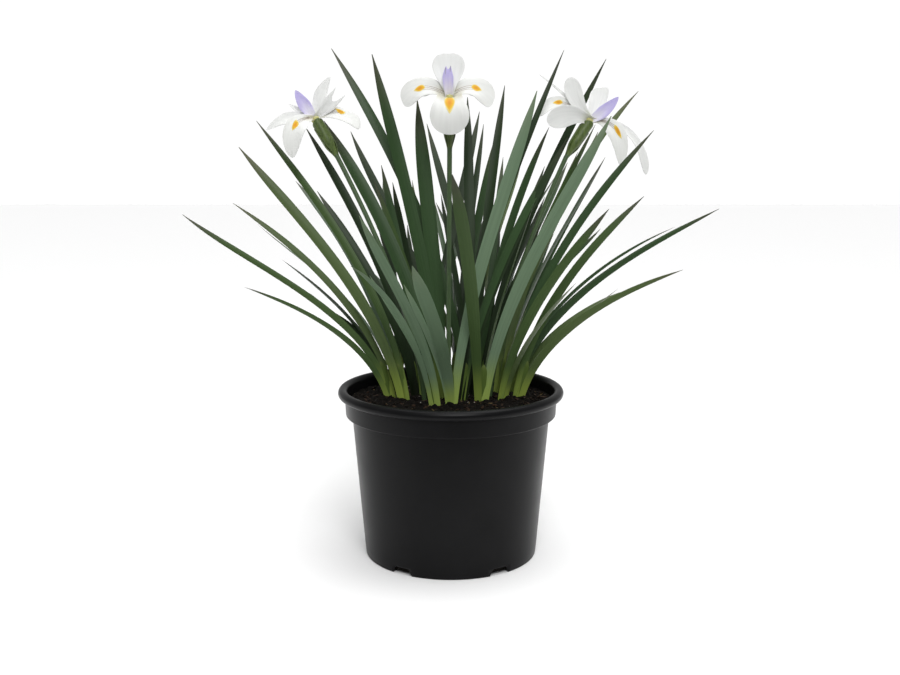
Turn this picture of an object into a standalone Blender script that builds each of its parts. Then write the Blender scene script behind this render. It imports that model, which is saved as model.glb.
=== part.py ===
"""A potted african iris: a moulded nursery pot, its fill of bark soil, fans of sword
leaves, and three scapes that each carry a spathe and an open bloom.

Metres, +Z up. The origin is the middle of the flat underside of the pot, -Y is the
front of the plant and +X is to the right of somebody who looks at that front.
Sizes are given in millimetres and turned to metres where the meshes are made.
"""
import math
import random

import bpy
import bmesh
from mathutils import Matrix, Vector

MM = 0.001

# Points closer than this are one point, in metres
MERGE_DISTANCE = 1e-6

# Faces that turn by more than this keep a sharp edge between them
SHARP_ANGLE = math.radians(35)

# Gap between solids that rest on each other
CLEARANCE = 0.3

# Colours and roughness of the finishes
POT_BLACK, POT_ROUGHNESS = (0.012, 0.012, 0.013), 0.42
BARK_BROWN, BARK_ROUGHNESS = (0.03, 0.02, 0.014), 0.95
LEAF_GREEN, LEAF_ROUGHNESS = (0.05, 0.10, 0.035), 0.45
STEM_GREEN, STEM_ROUGHNESS = (0.09, 0.13, 0.03), 0.5
PETAL_WHITE, PETAL_ROUGHNESS = (0.75, 0.75, 0.76), 0.5

# The pot: a tapered body under a wider collar, with a rolled bead round its mouth that
# starts at one angle of its section and ends at another
RIM_RADIUS = 100.0
BEAD_RADIUS = 4.2
BEAD_HEIGHT = 147.2
BEAD_START = math.radians(-112)
BEAD_END = math.radians(180)
COLLAR_FOOT_RADIUS = 93.3
COLLAR_TOP_RADIUS = 94.3
COLLAR_FOOT = 127.2
BODY_TOP_RADIUS = 87.7
BODY_FOOT_RADIUS = 76.9
FOOT_CHAMFER = 1.6
WALL = 1.8
FLOOR = 2.5
POT_SIDES = 56
BEAD_STEPS = 8

# The drain notches in the lower corner of the pot, by their angle from the front
NOTCH_ANGLES = (33, 90, 147, 213, 270, 327)
NOTCH_WIDTH = 14.0
NOTCH_SPLAY = 3.0
NOTCH_HEIGHT = 6.5
NOTCH_DEPTH = 9.0

# The soil stands a little under the rim
SOIL_TOP = 139.4

# A leaf leaves the soil steeply and leans over further towards its tip. The lean at
# its foot is this share of the lean of the straight line from its foot to its tip.
# Its blade widens to its middle and then tapers to the point.
FOOT_LEAN = 0.3
LEAF_RINGS = 8
YOUNG_RINGS = 6
LEAF_FOOT_WIDTH = 0.72
LEAF_TAPER_START = 0.5
LEAF_TAPER_POWER = 1.9
LEAF_THICKNESS_SHARE = 0.0108
LEAST_THICKNESS = 2.2
EDGE_THICKNESS = 0.35
MOST_TWIST = 26.0

# The feet of a fan's leaves stand side by side, by turns in front and behind
FOOT_SPREAD = 4.0
FOOT_STAGGER = 0.35

# Young leaves stand among the grown leaves of a fan, shorter and a little further back
YOUNG_LENGTH = (0.55, 0.85)
YOUNG_BACK = (0.0, 0.3)
YOUNG_SPREAD = 0.12
YOUNG_WIDTH = (7.0, 10.0)
YOUNG_DROOP = (1.15, 1.45)

# The sheath that holds the feet of one fan together, and its taper from foot to top.
# It leans with the fan's leaves, but less: so much of the upright is mixed in.
SHEATH_WIDTH = 12.0
SHEATH_THICKNESS = 5.0
SHEATH_HEIGHT = 30.0
SHEATH_TAPER = (1, 0.9, 0.6, 0)
SHEATH_UPRIGHT = 2

# The leaves that show, fan by fan, as measured: the place of the tip (x, y, z), the
# width of the blade, and the lean at the tip as a share of the lean of the whole leaf.
# A fan also has its foot on the soil (x, y), the turn of its plane in degrees, and the
# seed and number of its young leaves.
FANS = {
    "fan_left_low": ((-54, 8), 8, 1, 0, [
        (-178, -16, 242, 8, 1.38), (-226, -28, 305, 9, 1.1), (-190, 6, 313, 8, 1.45)]),
    "fan_left": ((-41, -5), -6, 4, 1, [
        (-182, 0, 361, 11, 1.25), (-173, 39, 384, 8, 1.35)]),
    "fan_left_back": ((-56, 32), -25, 6, 2, [
        (-152, 30, 261, 6, 1.4)]),
    "fan_left_middle": ((-31, 14), -8, 2, 2, [
        (-133, 67, 379, 9, 1.4), (-120, 38, 322, 9, 1.35), (-66, 100, 344, 8, 1.3)]),
    "fan_front_left": ((-14, -26), 6, 1, 1, [
        (-78, -106, 270, 6, 1.65), (-72, -90, 308, 9, 1.1)]),
    "fan_front": ((0, -18), 0, 2, 1, [
        (-30, -106, 270, 12, 1.2), (73, -5, 408, 11, 1.15)]),
    "fan_center_left": ((-10, 2), -4, 1, 1, [
        (-113, 40, 384, 12, 1.5), (-68, 18, 440, 11, 1.3), (-29, 12, 401, 13, 1.05)]),
    "fan_center": ((18, 16), 4, 1, 2, [
        (-107, 57, 448, 10, 1.5), (15, 50, 405, 9, 1.4), (48, 45, 415, 8, 1.45)]),
    "fan_center_right": ((10, -3), 10, 3, 3, [
        (97, 12, 443, 6, 1.4)]),
    "fan_right_middle": ((27, -8), 0, 1, 1, [
        (1, -130, 341, 11, 1.65), (136, -8, 387, 12, 1.2)]),
    "fan_right": ((46, 0), -10, 6, 2, [
        (130, -50, 311, 9, 1.4), (172, -10, 375, 8, 1.5)]),
    "fan_right_front": ((61, 13), -14, 1, 1, [
        (167, 0, 319, 9, 1.5), (196, -34, 259, 10, 1.4)]),
    "fan_right_side": ((58, 37), 10, 6, 2, [
        (251, 77, 304, 11, 1.3), (205, 50, 289, 5, 1.5)]),
    "fan_tall_right": ((26, 27), 8, 5, 3, [
        (145, 98, 442, 9, 1.35), (91, 79, 379, 8, 1.65)]),
    "fan_right_back": ((43, 24), 14, 4, 2, [
        (181, 129, 414, 9, 1.65), (139, 100, 375, 8, 1.1), (138, 112, 382, 7, 1.3)]),
    "fan_far_right": ((54, 56), 30, 1, 2, [
        (152, 140, 351, 6, 1.3), (126, 150, 356, 7, 1.3)]),
    "fan_back_left": ((-24, 40), -10, 6, 2, [
        (28, 139, 395, 8, 1.05), (-55, 92, 328, 8, 1.2)]),
    "fan_back": ((4, 46), 0, 1, 2, [
        (-99, 150, 376, 9, 1.05), (42, 130, 367, 8, 1.3), (32, 135, 383, 6, 1.2)]),
    "fan_back_right": ((32, 50), 8, 1, 2, [
        (-24, 165, 384, 8, 1.2), (52, 151, 351, 6, 1.3), (93, 147, 342, 7, 1.3)]),
}

# The fans at the back, which lean away from the middle of the clump: the foot of each
# (x, y) and the seed of its leaves. They lean back between two angles in degrees and
# spread to both sides of a line from a point in front of the clump.
BACK_ORIGIN = (0, -60)
BACK_FANS = {
    "fan_rear_left": ((-50, 54), 6),
    "fan_rear_middle_left": ((-20, 68), 2),
    "fan_rear_middle_right": ((12, 72), 1),
    "fan_rear_right": ((38, 70), 14),
}
BACK_LEAVES = 5
BACK_LEAN = (34, 58)
BACK_SPREAD = 36
BACK_LENGTH = (200, 285)
BACK_WIDTH = (8, 11)

# The scapes: the foot of each stem (x, y), where its spathe starts (x, y, z), and the
# heart of the bloom on top (x, y, z)
SCAPES = {
    "front": ((-2, -10), (-1, -25, 358), (-1, -30, 402)),
    "left": ((-23, -7), (-98, 8, 352), (-117, 10, 385)),
    "right": ((35, 11), (101, 20, 352), (122, 25, 384)),
}
STEM_RADIUS = 2.1
STEM_RINGS = 10
STEM_SIDES = 8
STEM_DROOP = 1.4

# The swelling of the spathe: places from the neck to the bloom, and the girth there
SPATHE_RADIUS = 4.8
SPATHE_SWELL = ((0.3, 0.8), (0.6, 1.0), (0.85, 0.9), (1.0, 0.6))

# The bloom of each scape. A petal is the place of its tip from the heart of the bloom
# (x, y, z), how far its middle rises above a straight line, its width, and its roll
# about its own length in degrees. Falls have a guide spot, standards are plain, and
# the arms are the petal-like branches of the style.
BLOOMS = {
    "front": [
        ("fall", (0, -17, -31), 8, 32, 0),
        ("fall", (-39, 5, -5), 12, 19, 52),
        ("fall", (38, 5, -6), 12, 19, -52),
        ("standard", (0, 9, 37), -2, 27, 0),
        ("standard", (-27, 22, 3), 5, 16, 0),
        ("standard", (27, 22, 3), 5, 16, 0),
        ("arm", (0, -1, 27), -1, 8, 0),
        ("arm", (-6, 18, 19), 2, 8, 0),
        ("arm", (6, 18, 19), 2, 8, 0)],
    "left": [
        ("fall", (-20, -27, -33), 14, 21, 0),
        ("fall", (39, -6, -7), 10, 18, -40),
        ("fall", (-4, 34, 2), 8, 18, 0),
        ("standard", (12, 9, 36), -4, 16, 30),
        ("standard", (-43, -5, -10), 10, 15, 40),
        ("standard", (20, 30, 4), 6, 18, 0),
        ("arm", (-17, -4, 24), -2, 10, 60),
        ("arm", (22, -3, 20), -2, 8, -60),
        ("arm", (-4, 18, 22), 2, 8, 0)],
    "right": [
        ("fall", (-46, -6, 4), 12, 15, 45),
        ("fall", (26, -12, -41), 15, 17, 55),
        ("fall", (6, 36, 4), 8, 18, 0),
        ("standard", (-16, 4, 36), -3, 18, 55),
        ("standard", (11, 14, 27), -2, 17, -30),
        ("standard", (-36, -16, -6), 7, 20, 45),
        ("standard", (49, 2, -48), 23, 9, 45),
        ("arm", (25, -7, 19), -3, 11, -60),
        ("arm", (-44, 13, 39), -6, 4, 0)],
}
PETAL_STATIONS = (0, 0.18, 0.36, 0.52, 0.68, 0.82, 0.94, 1.0)
PETAL_THICKNESS = 1.5
PETAL_WIDEST = 0.66
CLAW_WIDTH = {"fall": 0.26, "standard": 0.34, "arm": 0.6}

# The heart of a bloom, where its petals meet: its length below the middle, its girth
# there, and how much slimmer it is at its foot and its crown
HEART_LENGTH = 4.0
HEART_RADIUS = 3.2
HEART_FOOT = 0.7
HEART_CROWN = 0.4


def clear_scene():
    """Remove the objects and meshes of the scene."""
    for obj in list(bpy.data.objects):
        bpy.data.objects.remove(obj, do_unlink=True)
    for mesh in list(bpy.data.meshes):
        bpy.data.meshes.remove(mesh)


def finish(name, color, roughness):
    """A plain Principled material."""
    material = bpy.data.materials.new(name)
    material.use_nodes = True
    shader = material.node_tree.nodes["Principled BSDF"]
    shader.inputs["Base Color"].default_value = (*color, 1.0)
    shader.inputs["Roughness"].default_value = roughness
    return material


def mesh_object(name, points, faces, material, collection=None):
    """An object from points in millimetres, with its faces turned outwards."""
    mesh = bpy.data.meshes.new(name)
    mesh.from_pydata([Vector(p) * MM for p in points], [], faces)
    work = bmesh.new()
    work.from_mesh(mesh)
    bmesh.ops.recalc_face_normals(work, faces=work.faces)
    work.to_mesh(mesh)
    work.free()
    mesh.materials.append(material)
    obj = bpy.data.objects.new(name, mesh)
    (collection or bpy.context.scene.collection).objects.link(obj)
    return obj


def round_shading(mesh):
    """Smooth shading, with an edge kept sharp where faces turn by more than a little."""
    mesh.shade_smooth()
    mesh.set_sharp_from_angle(angle=SHARP_ANGLE)


def turned(name, profile, sides, material):
    """Spin an open outline of (radius, height) points about the Z axis.

    The outline starts and ends on the axis, so the solid is closed."""
    work = bmesh.new()
    points = [work.verts.new((radius * MM, 0, height * MM)) for radius, height in profile]
    edges = [work.edges.new(pair) for pair in zip(points, points[1:])]
    bmesh.ops.spin(work, geom=points + edges, cent=(0, 0, 0), axis=(0, 0, 1),
                   angle=2 * math.pi, steps=sides)
    bmesh.ops.remove_doubles(work, verts=work.verts, dist=MERGE_DISTANCE)
    bmesh.ops.recalc_face_normals(work, faces=work.faces)
    mesh = bpy.data.meshes.new(name)
    work.to_mesh(mesh)
    work.free()
    mesh.materials.append(material)
    round_shading(mesh)
    obj = bpy.data.objects.new(name, mesh)
    bpy.context.scene.collection.objects.link(obj)
    return obj


def unite(name, pieces, material):
    """Join the pieces to one closed solid by a Boolean union on a collection."""
    scene = bpy.context.scene
    group = bpy.data.collections.new(name + "_pieces")
    scene.collection.children.link(group)
    base = pieces[0]
    for piece in pieces[1:]:
        scene.collection.objects.unlink(piece)
        group.objects.link(piece)
    join = base.modifiers.new("join", "BOOLEAN")
    join.operation = "UNION"
    join.solver = "EXACT"
    join.operand_type = "COLLECTION"
    join.collection = group
    depsgraph = bpy.context.evaluated_depsgraph_get()
    mesh = bpy.data.meshes.new_from_object(base.evaluated_get(depsgraph))
    mesh.name = name
    for piece in pieces:
        bpy.data.objects.remove(piece, do_unlink=True)
    bpy.data.collections.remove(group)
    mesh.materials.clear()
    mesh.materials.append(material)
    obj = bpy.data.objects.new(name, mesh)
    scene.collection.objects.link(obj)
    return obj


def wall_radius(height, inset):
    """Radius of the pot's outer wall at a height, less an inset."""
    if height < COLLAR_FOOT + inset:
        share = height / COLLAR_FOOT
        return BODY_FOOT_RADIUS + (BODY_TOP_RADIUS - BODY_FOOT_RADIUS) * share - inset
    share = (height - COLLAR_FOOT) / (BEAD_HEIGHT - COLLAR_FOOT)
    return COLLAR_FOOT_RADIUS + (COLLAR_TOP_RADIUS - COLLAR_FOOT_RADIUS) * share - inset


def pot_profile():
    """Outline of the pot's wall, from the middle of its underside round to its floor."""
    bead_center = RIM_RADIUS - BEAD_RADIUS
    outline = [(0, 0), (BODY_FOOT_RADIUS - FOOT_CHAMFER, 0),
               (wall_radius(FOOT_CHAMFER, 0), FOOT_CHAMFER),
               (BODY_TOP_RADIUS, COLLAR_FOOT), (COLLAR_FOOT_RADIUS, COLLAR_FOOT)]
    for i in range(BEAD_STEPS):
        angle = BEAD_START + (BEAD_END - BEAD_START) * i / (BEAD_STEPS - 1)
        outline.append((bead_center + BEAD_RADIUS * math.cos(angle),
                        BEAD_HEIGHT + BEAD_RADIUS * math.sin(angle)))
    step = COLLAR_FOOT + WALL
    outline += [(COLLAR_FOOT_RADIUS - WALL, step), (BODY_TOP_RADIUS - WALL, step),
                (wall_radius(FLOOR, WALL), FLOOR), (0, FLOOR)]
    return outline


def notch_cutter(index, angle, material):
    """A tapered block that opens the lower corner of the pot, wider at its foot."""
    top, below = NOTCH_HEIGHT, -NOTCH_HEIGHT
    half_top = NOTCH_WIDTH / 2
    half_below = half_top + NOTCH_SPLAY * (top - below) / NOTCH_HEIGHT
    near, far = BODY_FOOT_RADIUS - NOTCH_DEPTH, RIM_RADIUS
    work = bmesh.new()
    bmesh.ops.create_cube(work, size=2)
    for corner in work.verts:
        x, y, z = corner.co
        corner.co = (x * (half_top if z > 0 else half_below), -far if y < 0 else -near,
                     top if z > 0 else below)
    bmesh.ops.scale(work, vec=(MM, MM, MM), verts=work.verts)
    bmesh.ops.rotate(work, cent=(0, 0, 0), verts=work.verts,
                     matrix=Matrix.Rotation(math.radians(angle), 3, "Z"))
    mesh = bpy.data.meshes.new("notch_cutter_%d" % index)
    work.to_mesh(mesh)
    work.free()
    mesh.materials.append(material)
    cutter = bpy.data.objects.new(mesh.name, mesh)
    cutter.display_type = "WIRE"
    cutter.hide_render = True
    bpy.context.scene.collection.objects.link(cutter)
    return cutter


def make_pot():
    """The pot, with its drain notches cut."""
    plastic = finish("pot_plastic", POT_BLACK, POT_ROUGHNESS)
    pot = turned("pot", pot_profile(), POT_SIDES, plastic)
    for index, angle in enumerate(NOTCH_ANGLES):
        cut = pot.modifiers.new("notch_%d" % index, "BOOLEAN")
        cut.operation = "DIFFERENCE"
        cut.solver = "EXACT"
        cut.object = notch_cutter(index, angle, plastic)
    return pot


def make_soil():
    """The fill of the pot, a plug that follows the inside of the wall."""
    inset = WALL + CLEARANCE
    step = COLLAR_FOOT + inset
    outline = [(0, FLOOR + CLEARANCE), (wall_radius(FLOOR, inset), FLOOR + CLEARANCE),
               (BODY_TOP_RADIUS - inset, step), (COLLAR_FOOT_RADIUS - inset, step),
               (RIM_RADIUS - 2 * BEAD_RADIUS - 2 * CLEARANCE, SOIL_TOP), (0, SOIL_TOP)]
    bark = finish("bark_soil", BARK_BROWN, BARK_ROUGHNESS)
    return turned("soil", outline, POT_SIDES, bark)


def arch(foot, tip, foot_share, tip_share, rings):
    """Points and directions along a blade that leans over from its foot to its tip."""
    chord = tip - foot
    flat = Vector((chord.x, chord.y, 0))
    lean = math.atan2(flat.length, chord.z)
    aside = flat.normalized() if flat.length > 1e-6 else Vector((1, 0, 0))

    def heading(angle):
        return aside * math.sin(angle) + Vector((0, 0, 1)) * math.cos(angle)

    start = heading(lean * foot_share) * chord.length
    end = heading(lean * tip_share) * chord.length
    path = []
    for i in range(rings):
        t = i / (rings - 1)
        a = 2 * t**3 - 3 * t**2 + 1
        b = t**3 - 2 * t**2 + t
        c = -2 * t**3 + 3 * t**2
        d = t**3 - t**2
        point = foot * a + start * b + tip * c + end * d
        e, f, g, h = (6 * t**2 - 6 * t, 3 * t**2 - 4 * t + 1, 6 * t - 6 * t**2,
                      3 * t**2 - 2 * t)
        path.append((point, (foot * e + start * f + tip * g + end * h).normalized()))
    return path


def blade(name, path, widths, thicknesses, aside, twist, material, floor=None, roll=0):
    """A solid blade along a path: four-sided rings with sharp edges and a pointed tip."""
    points = []
    last = len(path) - 1
    for i, (point, ahead) in enumerate(path):
        across = (aside - ahead * aside.dot(ahead)).normalized()
        across = Matrix.Rotation(math.radians(roll + twist * i / last), 3, ahead) @ across
        out = ahead.cross(across)
        half, thick = widths[i] / 2, thicknesses[i] / 2
        ring = [point + across * half, point + out * thick, point - across * half,
                point - out * thick]
        if i == 0 and floor is not None:
            ring = [p + ahead * ((floor - p.z) / ahead.z) for p in ring]
        if i == last:
            ring = [point]
        points += ring
    faces = [(0, 1, 2, 3)]
    for i in range(last):
        a, b = 4 * i, 4 * (i + 1)
        for j in range(4):
            k = (j + 1) % 4
            if i == last - 1:
                faces.append((a + j, a + k, b))
            else:
                faces.append((a + j, a + k, b + k, b + j))
    return mesh_object(name, points, faces, material)


def leaf_share(s):
    """Share of a leaf's full width at a share of its length."""
    if s < LEAF_TAPER_START:
        return LEAF_FOOT_WIDTH + (1 - LEAF_FOOT_WIDTH) * s / LEAF_TAPER_START
    past = (s - LEAF_TAPER_START) / (1 - LEAF_TAPER_START)
    return 1 - past**LEAF_TAPER_POWER


def young_leaves(foot, leaves, count, dice):
    """The leaves that fill up a fan, drawn between its grown leaves."""
    ground = SOIL_TOP + CLEARANCE
    start = Vector((foot[0], foot[1], ground))
    grown = [Vector(leaf[:3]) - start for leaf in leaves]
    young = []
    for _ in range(count):
        mix = dice.uniform(0, 1)
        low, high = dice.choice(grown), dice.choice(grown)
        heading = (low.normalized() * mix + high.normalized() * (1 - mix)).normalized()
        heading += Vector((dice.uniform(-YOUNG_SPREAD, YOUNG_SPREAD),
                           dice.uniform(*YOUNG_BACK), 0))
        length = (low.length * mix + high.length * (1 - mix)) * dice.uniform(*YOUNG_LENGTH)
        tip = start + heading.normalized() * length
        young.append((*tip, dice.uniform(*YOUNG_WIDTH), dice.uniform(*YOUNG_DROOP)))
    return young


def rear_leaves(foot, dice):
    """The leaves of a fan at the back, spread about the way out of the clump."""
    ground = SOIL_TOP + CLEARANCE
    outward = math.atan2(foot[1] - BACK_ORIGIN[1], foot[0] - BACK_ORIGIN[0])
    leaves = []
    for i in range(BACK_LEAVES):
        share = (i + dice.uniform(0.2, 0.8)) / BACK_LEAVES * 2 - 1
        lean = math.radians(dice.uniform(*BACK_LEAN))
        around = outward - math.radians(BACK_SPREAD) * share
        length = dice.uniform(*BACK_LENGTH)
        flat = length * math.sin(lean)
        tip = (foot[0] + flat * math.cos(around), foot[1] + flat * math.sin(around),
               ground + length * math.cos(lean))
        leaves.append((*tip, dice.uniform(*BACK_WIDTH), dice.uniform(*YOUNG_DROOP)))
    return leaves, math.degrees(outward) - 90


def leaf_piece(name, start, leaf, aside, twist, rings, material):
    """One sword leaf, its foot cut flat just over the soil."""
    tip = Vector(leaf[:3])
    width, droop = leaf[3:]
    path = arch(start, tip, FOOT_LEAN, droop, rings)
    shares = [leaf_share(i / (rings - 1)) for i in range(rings)]
    thick = max(LEAST_THICKNESS, (tip - start).length * LEAF_THICKNESS_SHARE)
    return blade(name, path, [width * share for share in shares],
                 [thick * (EDGE_THICKNESS + (1 - EDGE_THICKNESS) * share) for share in shares],
                 aside, twist, material, start.z)


def sheath_piece(name, middle, mean, aside, material):
    """The short thick blade in which the feet of a fan's leaves are sunk."""
    top = middle + mean * (SHEATH_HEIGHT / mean.z)
    last = len(SHEATH_TAPER) - 1
    path = [(middle.lerp(top, i / last), mean) for i in range(last + 1)]
    return blade(name, path, [SHEATH_WIDTH * share for share in SHEATH_TAPER],
                 [SHEATH_THICKNESS * share for share in SHEATH_TAPER], aside, 0, material,
                 middle.z)


def make_fan(name, foot, turn, grown, young, dice, material):
    """One fan: sword leaves that stand side by side in one plane, joined at a sheath."""
    facing = math.radians(turn)
    aside = Vector((math.cos(facing), math.sin(facing), 0))
    middle = Vector((foot[0], foot[1], SOIL_TOP + CLEARANCE))

    def slant(leaf):
        reach = Vector(leaf[:3]) - middle
        return reach.dot(aside) / reach.z

    pieces = []
    mean = Vector((0, 0, 0))
    leaves = sorted(grown + young, key=slant)
    for rank, leaf in enumerate(leaves):
        place = rank / max(1, len(leaves) - 1) * 2 - 1
        start = middle + aside * (FOOT_SPREAD * place)
        start.y += FOOT_STAGGER * (1 if rank % 2 else -1)
        mean += (Vector(leaf[:3]) - start).normalized()
        twist = dice.uniform(-MOST_TWIST, MOST_TWIST)
        rings = LEAF_RINGS if leaf in grown else YOUNG_RINGS
        pieces.append(leaf_piece("%s_leaf_%d" % (name, rank), start, leaf, aside, twist,
                                 rings, material))
    mean = (mean.normalized() + Vector((0, 0, SHEATH_UPRIGHT))).normalized()
    pieces.append(sheath_piece(name + "_sheath", middle, mean, aside, material))
    return unite(name, pieces, material)


def limb(name, path, radii, sides, material, floor=None):
    """A round limb along a path of points and directions, cut flat at both ends."""
    points = []
    for i, (point, ahead) in enumerate(path):
        across = ahead.orthogonal().normalized()
        other = ahead.cross(across)
        for j in range(sides):
            angle = 2 * math.pi * j / sides
            spot = point + (across * math.cos(angle) + other * math.sin(angle)) * radii[i]
            if i == 0 and floor is not None:
                spot = spot + ahead * ((floor - spot.z) / ahead.z)
            points.append(spot)
    last = len(path) - 1
    faces = [tuple(range(sides)), tuple(range(last * sides, (last + 1) * sides))]
    for i in range(last):
        a, b = i * sides, (i + 1) * sides
        for j in range(sides):
            k = (j + 1) % sides
            faces.append((a + j, a + k, b + k, b + j))
    obj = mesh_object(name, points, faces, material)
    round_shading(obj.data)
    return obj


def make_scape(side, foot, neck, heart, material):
    """A stem from the soil to the neck, with the swollen spathe that holds the bloom."""
    ground = SOIL_TOP + CLEARANCE
    start = Vector((foot[0], foot[1], ground))
    neck = Vector(neck)
    heart = Vector(heart)
    ahead = (heart - neck).normalized()
    path = arch(start, neck, FOOT_LEAN, STEM_DROOP, STEM_RINGS)
    radii = [STEM_RADIUS] * STEM_RINGS
    top = heart - ahead * (HEART_LENGTH + CLEARANCE)
    for share, girth in SPATHE_SWELL:
        path.append((neck.lerp(top, share), ahead))
        radii.append(SPATHE_RADIUS * girth)
    return limb("scape_" + side, path, radii, STEM_SIDES, material, ground)


def petal_share(s, kind):
    """Share of a petal's full width at a share of its length."""
    claw = CLAW_WIDTH[kind]
    if s < PETAL_WIDEST:
        rise = s / PETAL_WIDEST
        return claw + (1 - claw) * rise * rise * (3 - 2 * rise)
    past = (s - PETAL_WIDEST) / (1 - PETAL_WIDEST)
    return math.sqrt(max(0.0, 1 - past * past))


def petal_path(heart, tip, rise):
    """Points and directions from the heart of a bloom out to a petal's tip."""
    chord = Vector(tip)
    flat = Vector((chord.x, chord.y, 0))
    side = flat.cross(Vector((0, 0, 1))).normalized()
    up = side.cross(chord).normalized()
    control = chord / 2 + up * (2 * rise)
    path = []
    for s in PETAL_STATIONS:
        point = heart + control * (2 * s * (1 - s)) + chord * s**2
        ahead = control * (2 - 4 * s) + chord * (2 * s)
        path.append((point, ahead.normalized()))
    return path, side


def make_bloom(side, neck, heart, petals, material):
    """One open bloom: its petals and style arms, joined at the heart."""
    heart = Vector(heart)
    ahead = (heart - Vector(neck)).normalized()
    name = "bloom_" + side
    path = [(heart - ahead * HEART_LENGTH, ahead), (heart, ahead),
            (heart + ahead * HEART_RADIUS, ahead)]
    radii = [HEART_RADIUS * HEART_FOOT, HEART_RADIUS, HEART_RADIUS * HEART_CROWN]
    pieces = [limb(name + "_heart", path, radii, STEM_SIDES, material)]
    for index, (kind, tip, rise, width, roll) in enumerate(petals):
        path, across = petal_path(heart, tip, rise)
        widths = [width * petal_share(s, kind) for s in PETAL_STATIONS]
        thicks = [PETAL_THICKNESS] * len(PETAL_STATIONS)
        pieces.append(blade("%s_%s_%d" % (name, kind, index), path, widths, thicks, across,
                            0, material, roll=roll))
    return unite(name, pieces, material)


def main():
    """Build the pot, its fill, the fans and the scapes."""
    clear_scene()
    make_pot()
    make_soil()
    for name, (foot, turn, seed, count, grown) in FANS.items():
        dice = random.Random(seed)
        young = young_leaves(foot, grown, count, dice)
        green = finish(name + "_green", LEAF_GREEN, LEAF_ROUGHNESS)
        make_fan(name, foot, turn, grown, young, dice, green)
    for name, (foot, seed) in BACK_FANS.items():
        dice = random.Random(seed)
        young, turn = rear_leaves(foot, dice)
        green = finish(name + "_green", LEAF_GREEN, LEAF_ROUGHNESS)
        make_fan(name, foot, turn, [], young, dice, green)
    for side, (foot, neck, heart) in SCAPES.items():
        stem = finish("scape_green_" + side, STEM_GREEN, STEM_ROUGHNESS)
        make_scape(side, foot, neck, heart, stem)
        white = finish("petal_white_" + side, PETAL_WHITE, PETAL_ROUGHNESS)
        make_bloom(side, neck, heart, BLOOMS[side], white)


main()
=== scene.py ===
# %% [markdown]
# # A potted african iris
#
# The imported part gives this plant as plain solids, each in its true place: a pot, its
# fill of soil, fans of leaves, stems and blooms. This lesson dresses them. Each step
# first says what the real thing is and then makes it, so the cells can be run in turn.
#
# They stay where they are, and every new piece is made in the same metres, with the
# middle of the pot's underside at the origin.

# %% The frame
import math
import random

import bmesh
import bpy
from mathutils import Matrix, Vector


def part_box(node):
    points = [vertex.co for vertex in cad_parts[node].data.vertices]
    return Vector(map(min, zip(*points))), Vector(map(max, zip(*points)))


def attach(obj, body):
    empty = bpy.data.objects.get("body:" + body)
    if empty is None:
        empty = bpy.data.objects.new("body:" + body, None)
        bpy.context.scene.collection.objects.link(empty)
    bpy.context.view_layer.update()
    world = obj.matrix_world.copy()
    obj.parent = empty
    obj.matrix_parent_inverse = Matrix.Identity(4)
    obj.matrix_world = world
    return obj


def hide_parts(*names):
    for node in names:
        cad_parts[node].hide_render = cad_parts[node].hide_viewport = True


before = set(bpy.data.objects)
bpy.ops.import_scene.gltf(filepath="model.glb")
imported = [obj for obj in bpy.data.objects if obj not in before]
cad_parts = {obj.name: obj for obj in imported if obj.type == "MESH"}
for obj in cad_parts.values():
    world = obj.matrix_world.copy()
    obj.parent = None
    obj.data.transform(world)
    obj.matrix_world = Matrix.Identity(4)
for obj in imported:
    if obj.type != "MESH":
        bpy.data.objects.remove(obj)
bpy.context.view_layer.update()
MM = 0.001
FANS_IN_FRAME = sorted(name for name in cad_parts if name.startswith("fan_"))
print("the frame holds", len(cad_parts), "solids,", len(FANS_IN_FRAME), "of them fans")

# %% [markdown]
# ## Helpers
#
# Colours are noted as the hex codes that a picture shows. Blender's shaders want linear
# light, so one function turns them. Another one adds a node to any tree: its settings are
# attributes, and its inputs are values, sockets or other nodes, whose first output is
# then meant. Sizes are millimetres everywhere, and become metres in the meshes.

# %% Colours and nodes
def linear(code):
    """The linear colour of an sRGB hex code."""
    parts = [int(code[i:i + 2], 16) / 255 for i in (1, 3, 5)]
    return (*[p / 12.92 if p <= 0.04045 else ((p + 0.055) / 1.055)**2.4 for p in parts], 1.0)


def pick(sockets, key):
    """The socket in use with this name, or at this place."""
    shown = [socket for socket in sockets if socket.enabled]
    return shown[key] if isinstance(key, int) else next(s for s in shown if s.name == key)


def add(tree, kind, inputs=None, **settings):
    """Add a node with its settings, and fill its inputs with values or links."""
    node = tree.nodes.new(kind)
    for name, value in settings.items():
        setattr(node, name, value)
    for key, value in (inputs or {}).items():
        socket = pick(node.inputs, key)
        if isinstance(value, bpy.types.Node):
            value = pick(value.outputs, 0)
        if isinstance(value, bpy.types.NodeSocket):
            tree.links.new(value, socket)
        else:
            socket.default_value = value
    return node


# %% Meshes
def piece_from(name, mesh, material):
    """An object from a mesh in metres, with one material if one is given."""
    if material is not None:
        mesh.materials.append(material)
    piece = bpy.data.objects.new(name, mesh)
    bpy.context.scene.collection.objects.link(piece)
    return piece


def mesh_of(name, work, sharp=35):
    """Close a bmesh in millimetres: faces outwards, smooth, with sharp corners kept."""
    bmesh.ops.scale(work, vec=(MM, MM, MM), verts=work.verts)
    bmesh.ops.recalc_face_normals(work, faces=work.faces)
    mesh = bpy.data.meshes.new(name)
    work.to_mesh(mesh)
    work.free()
    mesh.shade_smooth()
    mesh.set_sharp_from_angle(angle=math.radians(sharp))
    return mesh


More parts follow.
